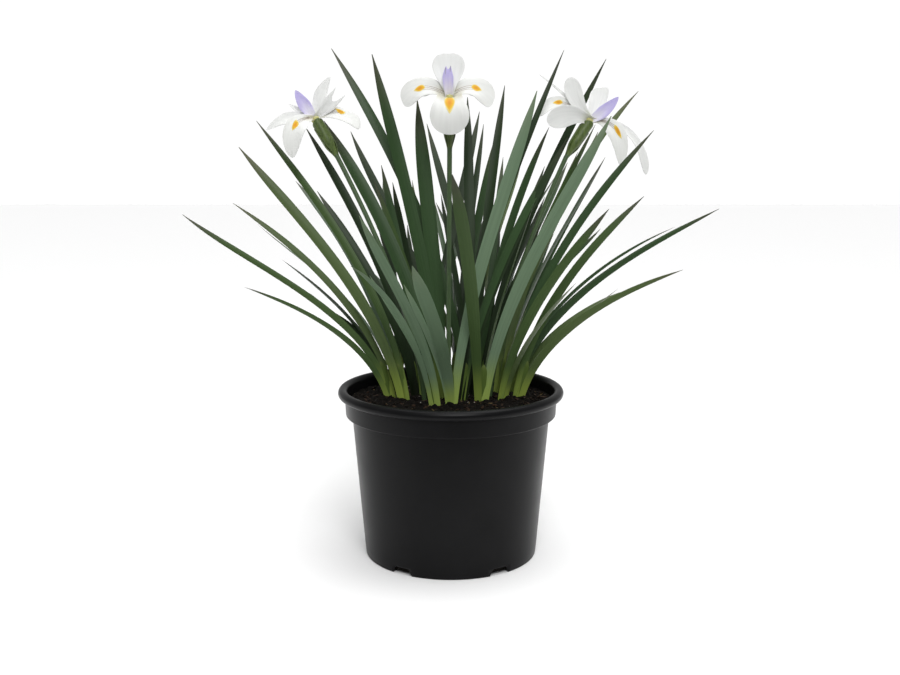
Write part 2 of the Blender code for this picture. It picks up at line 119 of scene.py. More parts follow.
def settled(piece):
    """A plain mesh object in place of one with modifiers."""
    depsgraph = bpy.context.evaluated_depsgraph_get()
    mesh = bpy.data.meshes.new_from_object(piece.evaluated_get(depsgraph))
    name = piece.name
    bpy.data.objects.remove(piece, do_unlink=True)
    mesh.name = name
    return piece_from(name, mesh, None)


def with_nodes(piece, tree, values):
    """Give a piece a node modifier, its inputs set by their identifiers."""
    modifier = piece.modifiers.new(tree.name, "NODES")
    modifier.node_group = tree
    for item in tree.interface.items_tree:
        if item.in_out == "INPUT" and item.name in values:
            modifier[item.identifier] = values[item.name]
    return settled(piece)


def triangles(piece):
    """How many triangles a piece has."""
    return sum(len(face.vertices) - 2 for face in piece.data.polygons)


# %% [markdown]
# ## Black polypropylene
#
# Nursery pots are injection moulded from black polypropylene. The mould leaves a fine
# even grain, so the gloss is low and soft, and the wall turns pale only where it is seen
# at a glancing angle. A second, much larger pattern makes the gloss uneven, as handling
# and a little dust do.

# %% Pot material
GRAIN_SIZE = 0.9
SMUDGE_SIZE = 35.0


def moulded_polypropylene():
    """Black polypropylene, injection moulded with a fine grain."""
    material = bpy.data.materials.new("black_polypropylene")
    material.use_nodes = True
    tree = material.node_tree
    shader = tree.nodes["Principled BSDF"]
    place = add(tree, "ShaderNodeTexCoord")
    grain = add(tree, "ShaderNodeTexNoise", {
        "Vector": place.outputs["Object"], "Scale": 1 / (GRAIN_SIZE * MM), "Detail": 2.0})
    smudge = add(tree, "ShaderNodeTexNoise", {
        "Vector": place.outputs["Object"], "Scale": 1 / (SMUDGE_SIZE * MM), "Detail": 3.0})
    gloss = add(tree, "ShaderNodeMapRange", {
        "Value": smudge.outputs[0], "From Min": 0.3, "From Max": 0.7,
        "To Min": 0.30, "To Max": 0.38})
    tone = add(tree, "ShaderNodeMapRange", {
        "Value": smudge.outputs[0], "From Min": 0.35, "From Max": 0.75})
    color = add(tree, "ShaderNodeMix", {
        "Factor": tone, "A": linear("#0c0c0d"), "B": linear("#121213")}, data_type="RGBA")
    bump = add(tree, "ShaderNodeBump", {
        "Strength": 0.12, "Distance": 0.1 * MM, "Height": grain.outputs[0]})
    tree.links.new(pick(color.outputs, 0), shader.inputs["Base Color"])
    tree.links.new(gloss.outputs[0], shader.inputs["Roughness"])
    tree.links.new(bump.outputs[0], shader.inputs["Normal"])
    shader.inputs["IOR"].default_value = 1.49
    shader.inputs["Specular IOR Level"].default_value = 0.12
    return material


POLYPROPYLENE = moulded_polypropylene()
print("pot material:", POLYPROPYLENE.name)

# %% [markdown]
# ## The pot
#
# A turned shape: the body widens upwards, steps out to a collar, and ends in a rolled
# bead. One outline of its wall is spun about the axis. The solid in the frame is the same
# shape with fewer sides, so this one follows its sizes, with the corners rounded as a
# mould rounds them. The drain notches are cut afterwards, as they are in the mould, by
# tapered blocks.

# %% Pot sizes
POT_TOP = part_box("pot")[1].z / MM
RIM_RADIUS = 100.0
BEAD_RADIUS = 4.2
BEAD_HEIGHT = POT_TOP - BEAD_RADIUS
COLLAR_FOOT = 127.2
COLLAR_FOOT_RADIUS = 93.3
COLLAR_TOP_RADIUS = 94.3
BODY_TOP_RADIUS = 87.7
BODY_FOOT_RADIUS = 76.9
WALL = 1.8
FLOOR = 2.5
CORNER = 1.2
POT_STEPS = 180
WALL_LOOPS = (8.0, 10.0, 20.0, 60.0, 100.0, 122.0)
NOTCH_ANGLES = (33, 90, 147, 213, 270, 327)
NOTCH_WIDTH = 14.0
NOTCH_SPLAY = 3.0
NOTCH_HEIGHT = 6.5
NOTCH_DEPTH = 9.0


# %% Pot outline
def arc(center, radius, first, last, steps):
    """Points on an arc, from one angle to another in degrees."""
    turn = [math.radians(first + (last - first) * i / steps) for i in range(steps + 1)]
    return [(center[0] + radius * math.cos(a), center[1] + radius * math.sin(a)) for a in turn]


def wall_radius(height):
    """The outer radius of the body at a height."""
    return BODY_FOOT_RADIUS + (BODY_TOP_RADIUS - BODY_FOOT_RADIUS) * height / COLLAR_FOOT


def pot_outline():
    """The wall's outline, from the middle of the underside round to the inner floor."""
    outline = [(0, 0)]
    outline += arc((BODY_FOOT_RADIUS - CORNER, CORNER), CORNER, -90, -5, 5)
    outline += [(wall_radius(height), height) for height in WALL_LOOPS]
    outline += arc((BODY_TOP_RADIUS + 0.8, COLLAR_FOOT - 0.8), 0.8, 180, 90, 4)
    outline += arc((COLLAR_FOOT_RADIUS - CORNER, COLLAR_FOOT + CORNER), CORNER, -90, 0, 5)
    outline.append((COLLAR_TOP_RADIUS - 0.3, BEAD_HEIGHT - BEAD_RADIUS - 1.2))
    outline += arc((RIM_RADIUS - BEAD_RADIUS, BEAD_HEIGHT), BEAD_RADIUS, -112, 180, 24)
    step = COLLAR_FOOT + WALL
    outline += [(RIM_RADIUS - 2 * BEAD_RADIUS, BEAD_HEIGHT - 3.0),
                (COLLAR_FOOT_RADIUS - WALL, step + CORNER), (COLLAR_FOOT_RADIUS - WALL - 1, step),
                (BODY_TOP_RADIUS - WALL, step)]
    outline += [(wall_radius(height) - WALL, height) for height in reversed(WALL_LOOPS)]
    outline += [(BODY_FOOT_RADIUS - WALL, FLOOR), (0, FLOOR)]
    return outline


def spun(name, outline, steps):
    """Spin an outline that starts and ends on the axis."""
    work = bmesh.new()
    points = [work.verts.new((radius, 0, height)) for radius, height in outline]
    edges = [work.edges.new(pair) for pair in zip(points, points[1:])]
    bmesh.ops.spin(work, geom=points + edges, cent=(0, 0, 0), axis=(0, 0, 1),
                   angle=2 * math.pi, steps=steps)
    bmesh.ops.remove_doubles(work, verts=work.verts, dist=0.001)
    return mesh_of(name, work)


# %% Drain notches
def notch_block(angle):
    """A tapered block that opens the lower corner of the pot."""
    half_top = NOTCH_WIDTH / 2
    half_below = half_top + 2 * NOTCH_SPLAY
    near, far = BODY_FOOT_RADIUS - NOTCH_DEPTH, RIM_RADIUS
    work = bmesh.new()
    bmesh.ops.create_cube(work, size=2)
    for corner in work.verts:
        x, y, z = corner.co
        corner.co = (x * (half_top if z > 0 else half_below), -far if y < 0 else -near,
                     NOTCH_HEIGHT if z > 0 else -NOTCH_HEIGHT)
    upright = [e for e in work.edges if all(v.co.z > 0 for v in e.verts)
               and abs(e.verts[0].co.x - e.verts[1].co.x) < 0.01]
    bmesh.ops.bevel(work, geom=upright, offset=1.5, segments=4, affect="EDGES", profile=0.5)
    bmesh.ops.rotate(work, cent=(0, 0, 0), verts=work.verts,
                     matrix=Matrix.Rotation(math.radians(angle), 3, "Z"))
    return piece_from("notch_block", mesh_of("notch_block", work), None)


pot = piece_from("nursery_pot", spun("nursery_pot", pot_outline(), POT_STEPS), POLYPROPYLENE)
blocks = [notch_block(angle) for angle in NOTCH_ANGLES]
for block in blocks:
    cut = pot.modifiers.new("notch", "BOOLEAN")
    cut.operation = "DIFFERENCE"
    cut.solver = "EXACT"
    cut.object = block
pot = settled(pot)
for block in blocks:
    bpy.data.objects.remove(block, do_unlink=True)
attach(pot, "root")
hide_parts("pot")
print("pot:", triangles(pot), "triangles")

# %% [markdown]
# ## Bark potting mix
#
# The fill is composted bark and peat: almost black when damp, with crumbs and slivers of
# brown bark on top, a few white grains of perlite, and fine roots. The plug below is one
# spun solid whose top is pushed up and down by noise. What lies on it repeats by the
# thousand, so geometry nodes scatter it: points over the top face, a small stone on each
# point, and noise that gives every stone its own shape.

# %% Soil materials
def crumb_material(name, dark, light, size, roughness):
    """A dull mineral or bark surface, mottled at a size in millimetres."""
    material = bpy.data.materials.new(name)
    material.use_nodes = True
    tree = material.node_tree
    shader = tree.nodes["Principled BSDF"]
    place = add(tree, "ShaderNodeTexCoord")
    mottle = add(tree, "ShaderNodeTexNoise", {
        "Vector": place.outputs["Object"], "Scale": 1 / (size * MM), "Detail": 4.0,
        "Roughness": 0.65})
    spread = add(tree, "ShaderNodeMapRange", {
        "Value": mottle.outputs[0], "From Min": 0.35, "From Max": 0.68})
    color = add(tree, "ShaderNodeMix", {
        "Factor": spread, "A": linear(dark), "B": linear(light)}, data_type="RGBA")
    bump = add(tree, "ShaderNodeBump", {
        "Strength": 0.5, "Distance": 0.5 * MM, "Height": mottle.outputs[0]})
    tree.links.new(pick(color.outputs, 0), shader.inputs["Base Color"])
    tree.links.new(bump.outputs[0], shader.inputs["Normal"])
    shader.inputs["Roughness"].default_value = roughness
    shader.inputs["Specular IOR Level"].default_value = 0.12
    return material


DAMP_PEAT = crumb_material("damp_peat", "#040302", "#0c0805", 3.0, 0.9)
BARK_DARK = crumb_material("composted_bark", "#070503", "#170f08", 1.6, 0.7)
BARK_BROWN = crumb_material("pine_bark", "#100a06", "#38261a", 2.2, 0.6)
PERLITE = crumb_material("perlite", "#77736a", "#c9c5bc", 1.0, 0.8)
ROOT_FIBRE = crumb_material("dry_root_fibre", "#40331f", "#7d6c4b", 4.0, 0.7)

# %% The plug of soil
SOIL_TOP = 139.4
SOIL_RINGS = 44
SOIL_STEPS = 140
SOIL_RELIEF = 2.0
SOIL_EDGE = RIM_RADIUS - 2 * BEAD_RADIUS - 0.6


def soil_mesh():
    """A plug inside the wall, with an uneven top."""
    gap = WALL + 0.3
    outline = [(0, FLOOR + 0.3), (BODY_FOOT_RADIUS - gap, FLOOR + 0.3),
               (BODY_TOP_RADIUS - gap, COLLAR_FOOT + gap), (COLLAR_FOOT_RADIUS - gap,
                                                            COLLAR_FOOT + gap)]
    outline += [(SOIL_EDGE * (1 - i / SOIL_RINGS), SOIL_TOP) for i in range(SOIL_RINGS + 1)]
    mesh = spun("soil_fill", outline, SOIL_STEPS)
    dice = random.Random(4)
    waves = [(Vector((dice.uniform(-1, 1), dice.uniform(-1, 1))).normalized()
              * dice.uniform(0.05, 0.9), dice.uniform(0, 6.3)) for _ in range(24)]
    for point in mesh.vertices:
        x, y, z = point.co / MM
        if z > SOIL_TOP - 0.1 and math.hypot(x, y) < SOIL_EDGE - 0.5:
            lift = sum(math.sin(w.x * x + w.y * y + turn) for w, turn in waves)
            point.co.z += SOIL_RELIEF * MM * lift / math.sqrt(len(waves))
    return mesh


soil = piece_from("soil_fill", soil_mesh(), DAMP_PEAT)
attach(soil, "root")
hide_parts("soil")
print("soil:", triangles(soil), "triangles")


# %% Scattered crumbs
def scatter_tree():
    """Geometry nodes: small stones of many shapes over a surface."""
    tree = bpy.data.node_groups.new("scattered crumbs", "GeometryNodeTree")
    face = tree.interface
    face.new_socket("Geometry", in_out="INPUT", socket_type="NodeSocketGeometry")
    for name in ("Density", "Smallest", "Largest", "Flatness", "Length", "Roughness"):
        face.new_socket(name, in_out="INPUT", socket_type="NodeSocketFloat")
    face.new_socket("Seed", in_out="INPUT", socket_type="NodeSocketInt")
    face.new_socket("Material", in_out="INPUT", socket_type="NodeSocketMaterial")
    face.new_socket("Geometry", in_out="OUTPUT", socket_type="NodeSocketGeometry")
    given = add(tree, "NodeGroupInput").outputs
    points = add(tree, "GeometryNodeDistributePointsOnFaces", {
        "Mesh": given["Geometry"], "Density": given["Density"], "Seed": given["Seed"]})
    stone = add(tree, "GeometryNodeMeshIcoSphere", {"Radius": 0.5, "Subdivisions": 1})
    size = add(tree, "FunctionNodeRandomValue", {
        "Min": given["Smallest"], "Max": given["Largest"], "Seed": given["Seed"]})
    flat = add(tree, "ShaderNodeMath", {0: size, 1: given["Flatness"]}, operation="MULTIPLY")
    long = add(tree, "ShaderNodeMath", {0: size, 1: given["Length"]}, operation="MULTIPLY")
    scale = add(tree, "ShaderNodeCombineXYZ", {"X": long, "Y": size, "Z": flat})
    tumble = add(tree, "FunctionNodeRandomValue", {
        "Min": (-0.5, -0.5, 0.0), "Max": (0.5, 0.5, 6.283), "Seed": given["Seed"]},
        data_type="FLOAT_VECTOR")
    turn = add(tree, "FunctionNodeEulerToRotation", {"Euler": tumble})
    placed = add(tree, "GeometryNodeInstanceOnPoints", {
        "Points": points, "Instance": stone, "Rotation": turn, "Scale": scale})
    solid = add(tree, "GeometryNodeRealizeInstances", {"Geometry": placed})
    where = add(tree, "GeometryNodeInputPosition")
    noise = add(tree, "ShaderNodeTexNoise", {
        "Vector": where, "Scale": 1 / (2.2 * MM), "Detail": 2.0})
    push = add(tree, "ShaderNodeVectorMath", {
        0: noise.outputs["Color"], 1: (0.5, 0.5, 0.5)}, operation="SUBTRACT")
    shift = add(tree, "ShaderNodeVectorMath", {
        0: push, "Scale": given["Roughness"]}, operation="SCALE")
    shaped = add(tree, "GeometryNodeSetPosition", {"Geometry": solid, "Offset": shift})
    done = add(tree, "GeometryNodeSetMaterial", {
        "Geometry": shaped, "Material": given["Material"]})
    add(tree, "NodeGroupOutput", {"Geometry": done})
    return tree


def soil_top(name):
    """An open copy of the middle of the soil's top, to scatter on."""
    mesh = soil.data.copy()
    work = bmesh.new()
    work.from_mesh(mesh)
    low = [f for f in work.faces if f.calc_center_median().z < (SOIL_TOP - 3) * MM
           or f.calc_center_median().xy.length > (SOIL_EDGE - 2.5) * MM]
    bmesh.ops.delete(work, geom=low, context="FACES")
    work.to_mesh(mesh)
    work.free()
    mesh.materials.clear()
    return piece_from(name, mesh, None)


SCATTER = scatter_tree()
CRUMBS = {
    "bark_crumbs": (BARK_DARK, 110000, 0.8, 2.8, 0.7, 1.2, 1.3, 2),
    "bark_slivers": (BARK_BROWN, 14000, 1.2, 4.6, 0.35, 1.8, 1.4, 5),
    "perlite_grains": (PERLITE, 2600, 0.5, 1.7, 0.8, 1.1, 0.9, 9),
    "dry_rootlets": (ROOT_FIBRE, 5500, 0.3, 0.6, 0.9, 15.0, 3.2, 11)}
for name, (material, density, least, most, flat, length, rough, seed) in CRUMBS.items():
    crumbs = with_nodes(soil_top(name), SCATTER, {
        "Density": float(density), "Smallest": least * MM, "Largest": most * MM,
        "Flatness": flat, "Length": length, "Roughness": rough * MM, "Seed": seed,
        "Material": material})
    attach(crumbs, "root")
    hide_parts("soil")
    print(name, triangles(crumbs), "triangles")

# %% [markdown]
# ## Sword leaves
#
# An african iris leaf is a flat sword, about a centimetre wide, stiff and leathery. It
# stands edge-on in its fan, leaves the soil steeply and leans over towards its tip. Its
# face is matt grey-green with fine ribs along it, the foot is yellow-green where no light
# reached, and the tip dries to grey-brown.
#
# The part's own rule gives each leaf a foot, a tip, a width, a lean at the tip and a
# twist. It is written again here. The colours that have a place are dealt out leaf by
# leaf, as plain tones, and each tone has a foot, a blade and a tip material that run into
# each other. The fans deep in the clump mostly take a dark tone with a near-black foot:
# that is painted shade, where the leaves around them shade them.

# %% Leaf sizes
CLEARANCE = 0.3
GROUND = SOIL_TOP + CLEARANCE
FOOT_LEAN = 0.3
LEAF_FOOT_WIDTH = 0.56
LEAF_WIDEST = 0.4
LEAF_TAPER_START = 0.68
LEAF_TAPER_POWER = 2.8
LEAF_END_WIDTH = 0.06
FOOT_SPREAD = 2.8
FOOT_STAGGER = 0.35
MOST_TWIST = 26.0
YOUNG_LENGTH = (0.55, 0.85)
YOUNG_BACK = (0.0, 0.3)
YOUNG_SPREAD = 0.12
YOUNG_WIDTH = (7.0, 10.0)
YOUNG_DROOP = (1.15, 1.45)
BACK_ORIGIN = (0, -60)
BACK_LEAVES = 5
BACK_LEAN = (34, 58)
BACK_SPREAD = 36
BACK_LENGTH = (200, 285)
BACK_WIDTH = (8, 11)
SHEATH_WIDTH = 12.0
SHEATH_HEIGHT = 30.0
SUNK = 2.0

# %% The fans that show
# Each fan: its foot on the soil, the turn of its plane in degrees, the seed and number
# of its young leaves, and its grown leaves as tip (x, y, z), width, and lean at the tip
FANS = {
    "fan_left_low": ((-54, 8), 8, 1, 0, [
        (-178, -16, 242, 8, 1.38), (-226, -28, 305, 9, 1.1), (-190, 6, 313, 8, 1.45)]),
    "fan_left": ((-41, -5), -6, 4, 1, [
        (-182, 0, 361, 11, 1.25), (-173, 39, 384, 8, 1.35)]),
    "fan_left_back": ((-56, 32), -25, 6, 2, [
        (-152, 30, 261, 6, 1.4)]),
    "fan_left_middle": ((-31, 14), -8, 2, 2, [
        (-133, 67, 379, 9, 1.4), (-120, 38, 322, 9, 1.35), (-66, 100, 344, 8, 1.3)]),
    "fan_front_left": ((-14, -26), 6, 1, 1, [
        (-78, -106, 270, 6, 1.65), (-72, -90, 308, 9, 1.1)]),
    "fan_front": ((0, -18), 0, 2, 1, [
        (-30, -106, 270, 12, 1.2), (73, -5, 408, 11, 1.15)]),
    "fan_center_left": ((-10, 2), -4, 1, 1, [
        (-113, 40, 384, 12, 1.5), (-68, 18, 440, 11, 1.3), (-29, 12, 401, 13, 1.05)]),
    "fan_center": ((18, 16), 4, 1, 2, [
        (-107, 57, 448, 10, 1.5), (15, 50, 405, 9, 1.4), (48, 45, 415, 8, 1.45)]),
    "fan_center_right": ((10, -3), 10, 3, 3, [
        (97, 12, 443, 6, 1.4)]),
    "fan_right_middle": ((27, -8), 0, 1, 1, [
        (1, -130, 341, 11, 1.65), (136, -8, 387, 12, 1.2)]),
    "fan_right": ((46, 0), -10, 6, 2, [
        (130, -50, 311, 9, 1.4), (172, -10, 375, 8, 1.5)]),
    "fan_right_front": ((61, 13), -14, 1, 1, [
        (167, 0, 319, 9, 1.5), (196, -34, 259, 10, 1.4)]),
    "fan_right_side": ((58, 37), 10, 6, 2, [
        (251, 77, 304, 11, 1.3), (205, 50, 289, 5, 1.5)]),
    "fan_tall_right": ((26, 27), 8, 5, 3, [
        (145, 98, 442, 9, 1.35), (91, 79, 379, 8, 1.65)]),
    "fan_right_back": ((43, 24), 14, 4, 2, [
        (181, 129, 414, 9, 1.65), (139, 100, 375, 8, 1.1), (138, 112, 382, 7, 1.3)]),
    "fan_far_right": ((54, 56), 30, 1, 2, [
        (152, 140, 351, 6, 1.3), (126, 150, 356, 7, 1.3)]),
    "fan_back_left": ((-24, 40), -10, 6, 2, [
        (28, 139, 395, 8, 1.05), (-55, 92, 328, 8, 1.2)]),
    "fan_back": ((4, 46), 0, 1, 2, [
        (-99, 150, 376, 9, 1.05), (42, 130, 367, 8, 1.3), (32, 135, 383, 6, 1.2)]),
    "fan_back_right": ((32, 50), 8, 1, 2, [
        (-24, 165, 384, 8, 1.2), (52, 151, 351, 6, 1.3), (93, 147, 342, 7, 1.3)]),
}
BACK_FANS = {
    "fan_rear_left": ((-50, 54), 6),
    "fan_rear_middle_left": ((-20, 68), 2),
    "fan_rear_middle_right": ((12, 72), 1),
    "fan_rear_right": ((38, 70), 14),
}

# %% [markdown]
# ### The rule for one fan
#
# Young leaves are drawn between the grown ones, with the same seeds as the solids have,
# so the finer leaves stand inside the solids' reach. Their blades are turned out of the
# fan's plane, which keeps the clump full when it is looked at from the side. A leaf is
# then one row: the four points of a Bezier curve, the way its blade lies, its width, and
# how far it twists.


# %% Leaf rows
def young_leaves(foot, leaves, count, dice):
    """The leaves that fill up a fan, drawn between its grown leaves."""
    start = Vector((*foot, GROUND))
    grown = [Vector(leaf[:3]) - start for leaf in leaves]
    young = []
    for _ in range(count):
        mix = dice.uniform(0, 1)
        low, high = dice.choice(grown), dice.choice(grown)
        heading = (low.normalized() * mix + high.normalized() * (1 - mix)).normalized()
        heading += Vector((dice.uniform(-YOUNG_SPREAD, YOUNG_SPREAD),
                           dice.uniform(*YOUNG_BACK), 0))
        length = (low.length * mix + high.length * (1 - mix)) * dice.uniform(*YOUNG_LENGTH)
        tip = start + heading.normalized() * length
        young.append((*tip, dice.uniform(*YOUNG_WIDTH), dice.uniform(*YOUNG_DROOP)))
    return young


def rear_leaves(foot, dice):
    """The leaves of a fan at the back, spread about the way out of the clump."""
    outward = math.atan2(foot[1] - BACK_ORIGIN[1], foot[0] - BACK_ORIGIN[0])
    leaves = []
    for i in range(BACK_LEAVES):
        share = (i + dice.uniform(0.2, 0.8)) / BACK_LEAVES * 2 - 1
        lean = math.radians(dice.uniform(*BACK_LEAN))
        around = outward - math.radians(BACK_SPREAD) * share
        length = dice.uniform(*BACK_LENGTH)
        flat = length * math.sin(lean)
        tip = (foot[0] + flat * math.cos(around), foot[1] + flat * math.sin(around),
               GROUND + length * math.cos(lean))
        leaves.append((*tip, dice.uniform(*BACK_WIDTH), dice.uniform(*YOUNG_DROOP)))
    return leaves, math.degrees(outward) - 90


def arch(foot, tip, foot_share, tip_share):
    """The four Bezier points of a curve that leans over from its foot to its tip."""
    chord = tip - foot
    flat = Vector((chord.x, chord.y, 0))
    lean = math.atan2(flat.length, chord.z)
    aside = flat.normalized() if flat.length > 1e-6 else Vector((1, 0, 0))

    def heading(share):
        angle = lean * share
        return (aside * math.sin(angle) + Vector((0, 0, 1)) * math.cos(angle)) * chord.length

    return [foot, foot + heading(foot_share) / 3, tip - heading(tip_share) / 3, tip]


def fan_rows(foot, turn, leaves, dice):
    """The rows of one fan: Bezier points, lie of the blade, width and twist.

    Each leaf is its tip (x, y, z), width, lean at the tip, and turn out of the fan.
    """
    facing = math.radians(turn)
    aside = Vector((math.cos(facing), math.sin(facing), 0))
    middle = Vector((*foot, GROUND))

    def slant(leaf):
        reach = Vector(leaf[:3]) - middle
        return reach.dot(aside) / reach.z

    rows = []
    mean = Vector((0, 0, 0))
    for rank, leaf in enumerate(sorted(leaves, key=slant)):
        lie = Matrix.Rotation(leaf[5], 3, "Z") @ aside
        place = rank / max(1, len(leaves) - 1) * 2 - 1
        start = middle + aside * (FOOT_SPREAD * place)
        start.y += FOOT_STAGGER * (1 if rank % 2 else -1)
        mean += (Vector(leaf[:3]) - start).normalized()
        twist = dice.uniform(-MOST_TWIST, MOST_TWIST)
        points = arch(start, Vector(leaf[:3]), FOOT_LEAN, leaf[4])
        rows.append((points, lie, leaf[3], math.radians(twist)))
    return rows, middle, aside, mean.normalized()


# %% Tones of the leaves
# Each tone: the colours of the foot, the blade and the tip. The dark tone is painted
# shade: a near-black foot and a dark blade for leaves deep in the clump
TONES = {
    "deep": ("#6a7d3a", "#314829", "#4a4d3c"), "moss": ("#74863c", "#425730", "#4e5041"),
    "olive": ("#7f903f", "#4d5e37", "#55563f"), "grey": ("#7f9447", "#4d6049", "#53564a"),
    "silver": ("#869a4c", "#647a60", "#6a7a60"), "dark": ("#141c0c", "#25351e", "#3a4030"),
    "sheath": ("#76873c", "#4d6029", "#5d6a38")}
FRONT_TONES = {
    "fan_front": ("silver", "silver", "silver", "silver", "silver"),
    "fan_front_left": ("silver", "silver", "grey", "moss", "silver"),
    "fan_right_middle": ("silver", "silver", "grey", "moss", "silver"),
    "fan_center_left": ("deep", "deep", "moss", "moss", "deep")}
INNER_FANS = ("fan_left_middle", "fan_center", "fan_center_right", "fan_back",
              "fan_back_left", "fan_back_right", "fan_left_back", "fan_tall_right")
# Painted shade: the fans inside the clump mostly take the dark tone, so they look shaded by the
# leaves around them
INNER_TONES = ("dark", "deep", "dark", "dark")
OUTER_TONES = ("deep", "deep", "moss", "moss", "olive", "olive", "grey")
FOOT_END = 0.18
TIP_START = 0.80
SHEATHS = ((0.0, 1.1, 6.5),)
SHEATH_UPRIGHT = 2.0
SIDE_TURN = (30, 70)


def side_turn(dice):
    """How far the blade of a young leaf is turned out of its fan, to either side."""
    return math.radians(dice.uniform(*SIDE_TURN)) * dice.choice((-1, 1))


def all_rows():
    """Every leaf and sheath of the clump, with its tone."""
    rows = []
    paint = random.Random(12)
    turning = random.Random(3)
    fans = [(name, foot, turn, seed, count, grown)
            for name, (foot, turn, seed, count, grown) in FANS.items()]
    fans += [(name, foot, None, seed, 0, []) for name, (foot, seed) in BACK_FANS.items()]
    for name, foot, turn, seed, count, grown in fans:
        dice = random.Random(seed)
        if turn is None:
            young, turn = rear_leaves(foot, dice)
        else:
            young = young_leaves(foot, grown, count, dice)
        leaves = [(*leaf, 0.0) for leaf in grown]
        leaves += [(*leaf, side_turn(turning)) for leaf in young]
        found, middle, aside, mean = fan_rows(foot, turn, leaves, dice)
        choice = FRONT_TONES.get(name, INNER_TONES if name in INNER_FANS else OUTER_TONES)
        rows += [(*row, paint.choice(choice)) for row in found]
        mean = (mean + Vector((0, 0, SHEATH_UPRIGHT))).normalized()
        for shift, tall, width in SHEATHS:
            start = middle + aside * shift
            tip = start + mean * (SHEATH_HEIGHT * tall / mean.z)
            rows.append((arch(start, tip, 1.0, 1.0), aside, width, 0.0, "sheath"))
    return rows


def row_mesh(rows):
    """A mesh with one point for each row, which carries the row as attributes."""
    mesh = bpy.data.meshes.new("leaf_rows")
    mesh.from_pydata([row[0][0] * MM for row in rows], [], [])
    for place, name in enumerate(("foot", "foot_handle", "tip_handle", "tip")):
        values = mesh.attributes.new(name, "FLOAT_VECTOR", "POINT").data
        for value, row in zip(values, rows):
            sunk = Vector((0, 0, SUNK)) if place == 0 else Vector((0, 0, 0))
            value.vector = (row[0][place] - sunk) * MM
    values = mesh.attributes.new("aside", "FLOAT_VECTOR", "POINT").data
    for value, row in zip(values, rows):
        value.vector = row[1]
    tones = list(TONES)
    numbers = {"blade_width": lambda row: row[2] * MM, "twist": lambda row: row[3],
               "tone": lambda row: tones.index(row[4]),
               "leaf_seed": lambda row: row[0][3].x * 0.37 + row[0][3].z * 0.11}
    for name, number in numbers.items():
        values = mesh.attributes.new(name, "FLOAT", "POINT").data
        for value, row in zip(values, rows):
            value.value = number(row)
    return mesh


ROWS = all_rows()
print("leaves and sheaths:", len(ROWS))

# %% [markdown]
# ## Leaf green
#
# A waxy leaf: the wax spreads the light, so the gloss is satin rather than sharp, and
# the ribs under the skin break it into fine lines that run along the blade. Three
# materials share one maker. The foot runs from yellow-green into the blade's tone, the
# blade keeps its tone, and the tip runs from it into dry grey-brown. Streaks and ribs
# read the leaf's own UV map: U goes across the blade and V from foot to tip.

# %% Leaf materials
RIB_COUNT = 9.0
RIBS_FADE = (0.35, 0.75)
STREAK_COUNT = 9.0


def waxy_leaf(name, low, high, first, last):
    """A waxy leaf whose colour runs from one tone to another along the blade."""
    material = bpy.data.materials.new(name)
    material.use_nodes = True
    tree = material.node_tree
    shader = tree.nodes["Principled BSDF"]
    layout = add(tree, "ShaderNodeUVMap", uv_map="UVMap")
    parts = add(tree, "ShaderNodeSeparateXYZ", {"Vector": layout})
    own = add(tree, "ShaderNodeAttribute", attribute_name="leaf_seed")
    across = add(tree, "ShaderNodeMath", {0: parts.outputs["X"], 1: STREAK_COUNT},
                 operation="MULTIPLY")
    along = add(tree, "ShaderNodeMath", {0: parts.outputs["Y"], 1: 2.5}, operation="MULTIPLY")
    fibre = add(tree, "ShaderNodeCombineXYZ", {
        "X": across, "Y": along, "Z": own.outputs["Fac"]})
    streak = add(tree, "ShaderNodeTexNoise", {"Vector": fibre, "Scale": 1.0, "Detail": 3.0})
    run = add(tree, "ShaderNodeMapRange", {
        "Value": parts.outputs["Y"], "From Min": first, "From Max": last},
        interpolation_type="SMOOTHSTEP")
    base = add(tree, "ShaderNodeMix", {
        "Factor": run, "A": linear(low), "B": linear(high)}, data_type="RGBA")
    shade = add(tree, "ShaderNodeMapRange", {
        "Value": streak.outputs[0], "From Min": 0.3, "From Max": 0.7,
        "To Min": 0.93, "To Max": 1.07})
    color = add(tree, "ShaderNodeVectorMath", {
        0: pick(base.outputs, 0), "Scale": shade.outputs[0]}, operation="SCALE")
    turns = add(tree, "ShaderNodeMath", {
        0: parts.outputs["X"], 1: RIB_COUNT * math.pi}, operation="MULTIPLY")
    ribs = add(tree, "ShaderNodeMath", {0: turns}, operation="SINE")
    fade = add(tree, "ShaderNodeMapRange", {
        "Value": parts.outputs["Y"], "From Min": RIBS_FADE[0], "From Max": RIBS_FADE[1],
        "To Min": 1.0, "To Max": 0.0})
    height = add(tree, "ShaderNodeMath", {0: ribs, 1: fade.outputs[0]}, operation="MULTIPLY")
    bump = add(tree, "ShaderNodeBump", {
        "Strength": 0.25, "Distance": 0.1 * MM, "Height": height})
    tree.links.new(color.outputs[0], shader.inputs["Base Color"])
    tree.links.new(bump.outputs[0], shader.inputs["Normal"])
    shader.inputs["Roughness"].default_value = 0.42
    shader.inputs["Specular IOR Level"].default_value = 0.22
    return material


def leaf_materials():
    """Foot, blade and tip material of every tone, in the order of their codes."""
    materials = []
    for tone, (foot, green, tip) in TONES.items():
        materials += [
            waxy_leaf("leaf_foot_" + tone, foot, green, 0.02, FOOT_END),
            waxy_leaf("leaf_blade_" + tone, green, green, 0.0, 1.0),
            waxy_leaf("leaf_tip_" + tone, green, tip, TIP_START, 1.0)]
    return materials


LEAF_MATERIALS = leaf_materials()
print("leaf materials:", len(LEAF_MATERIALS))


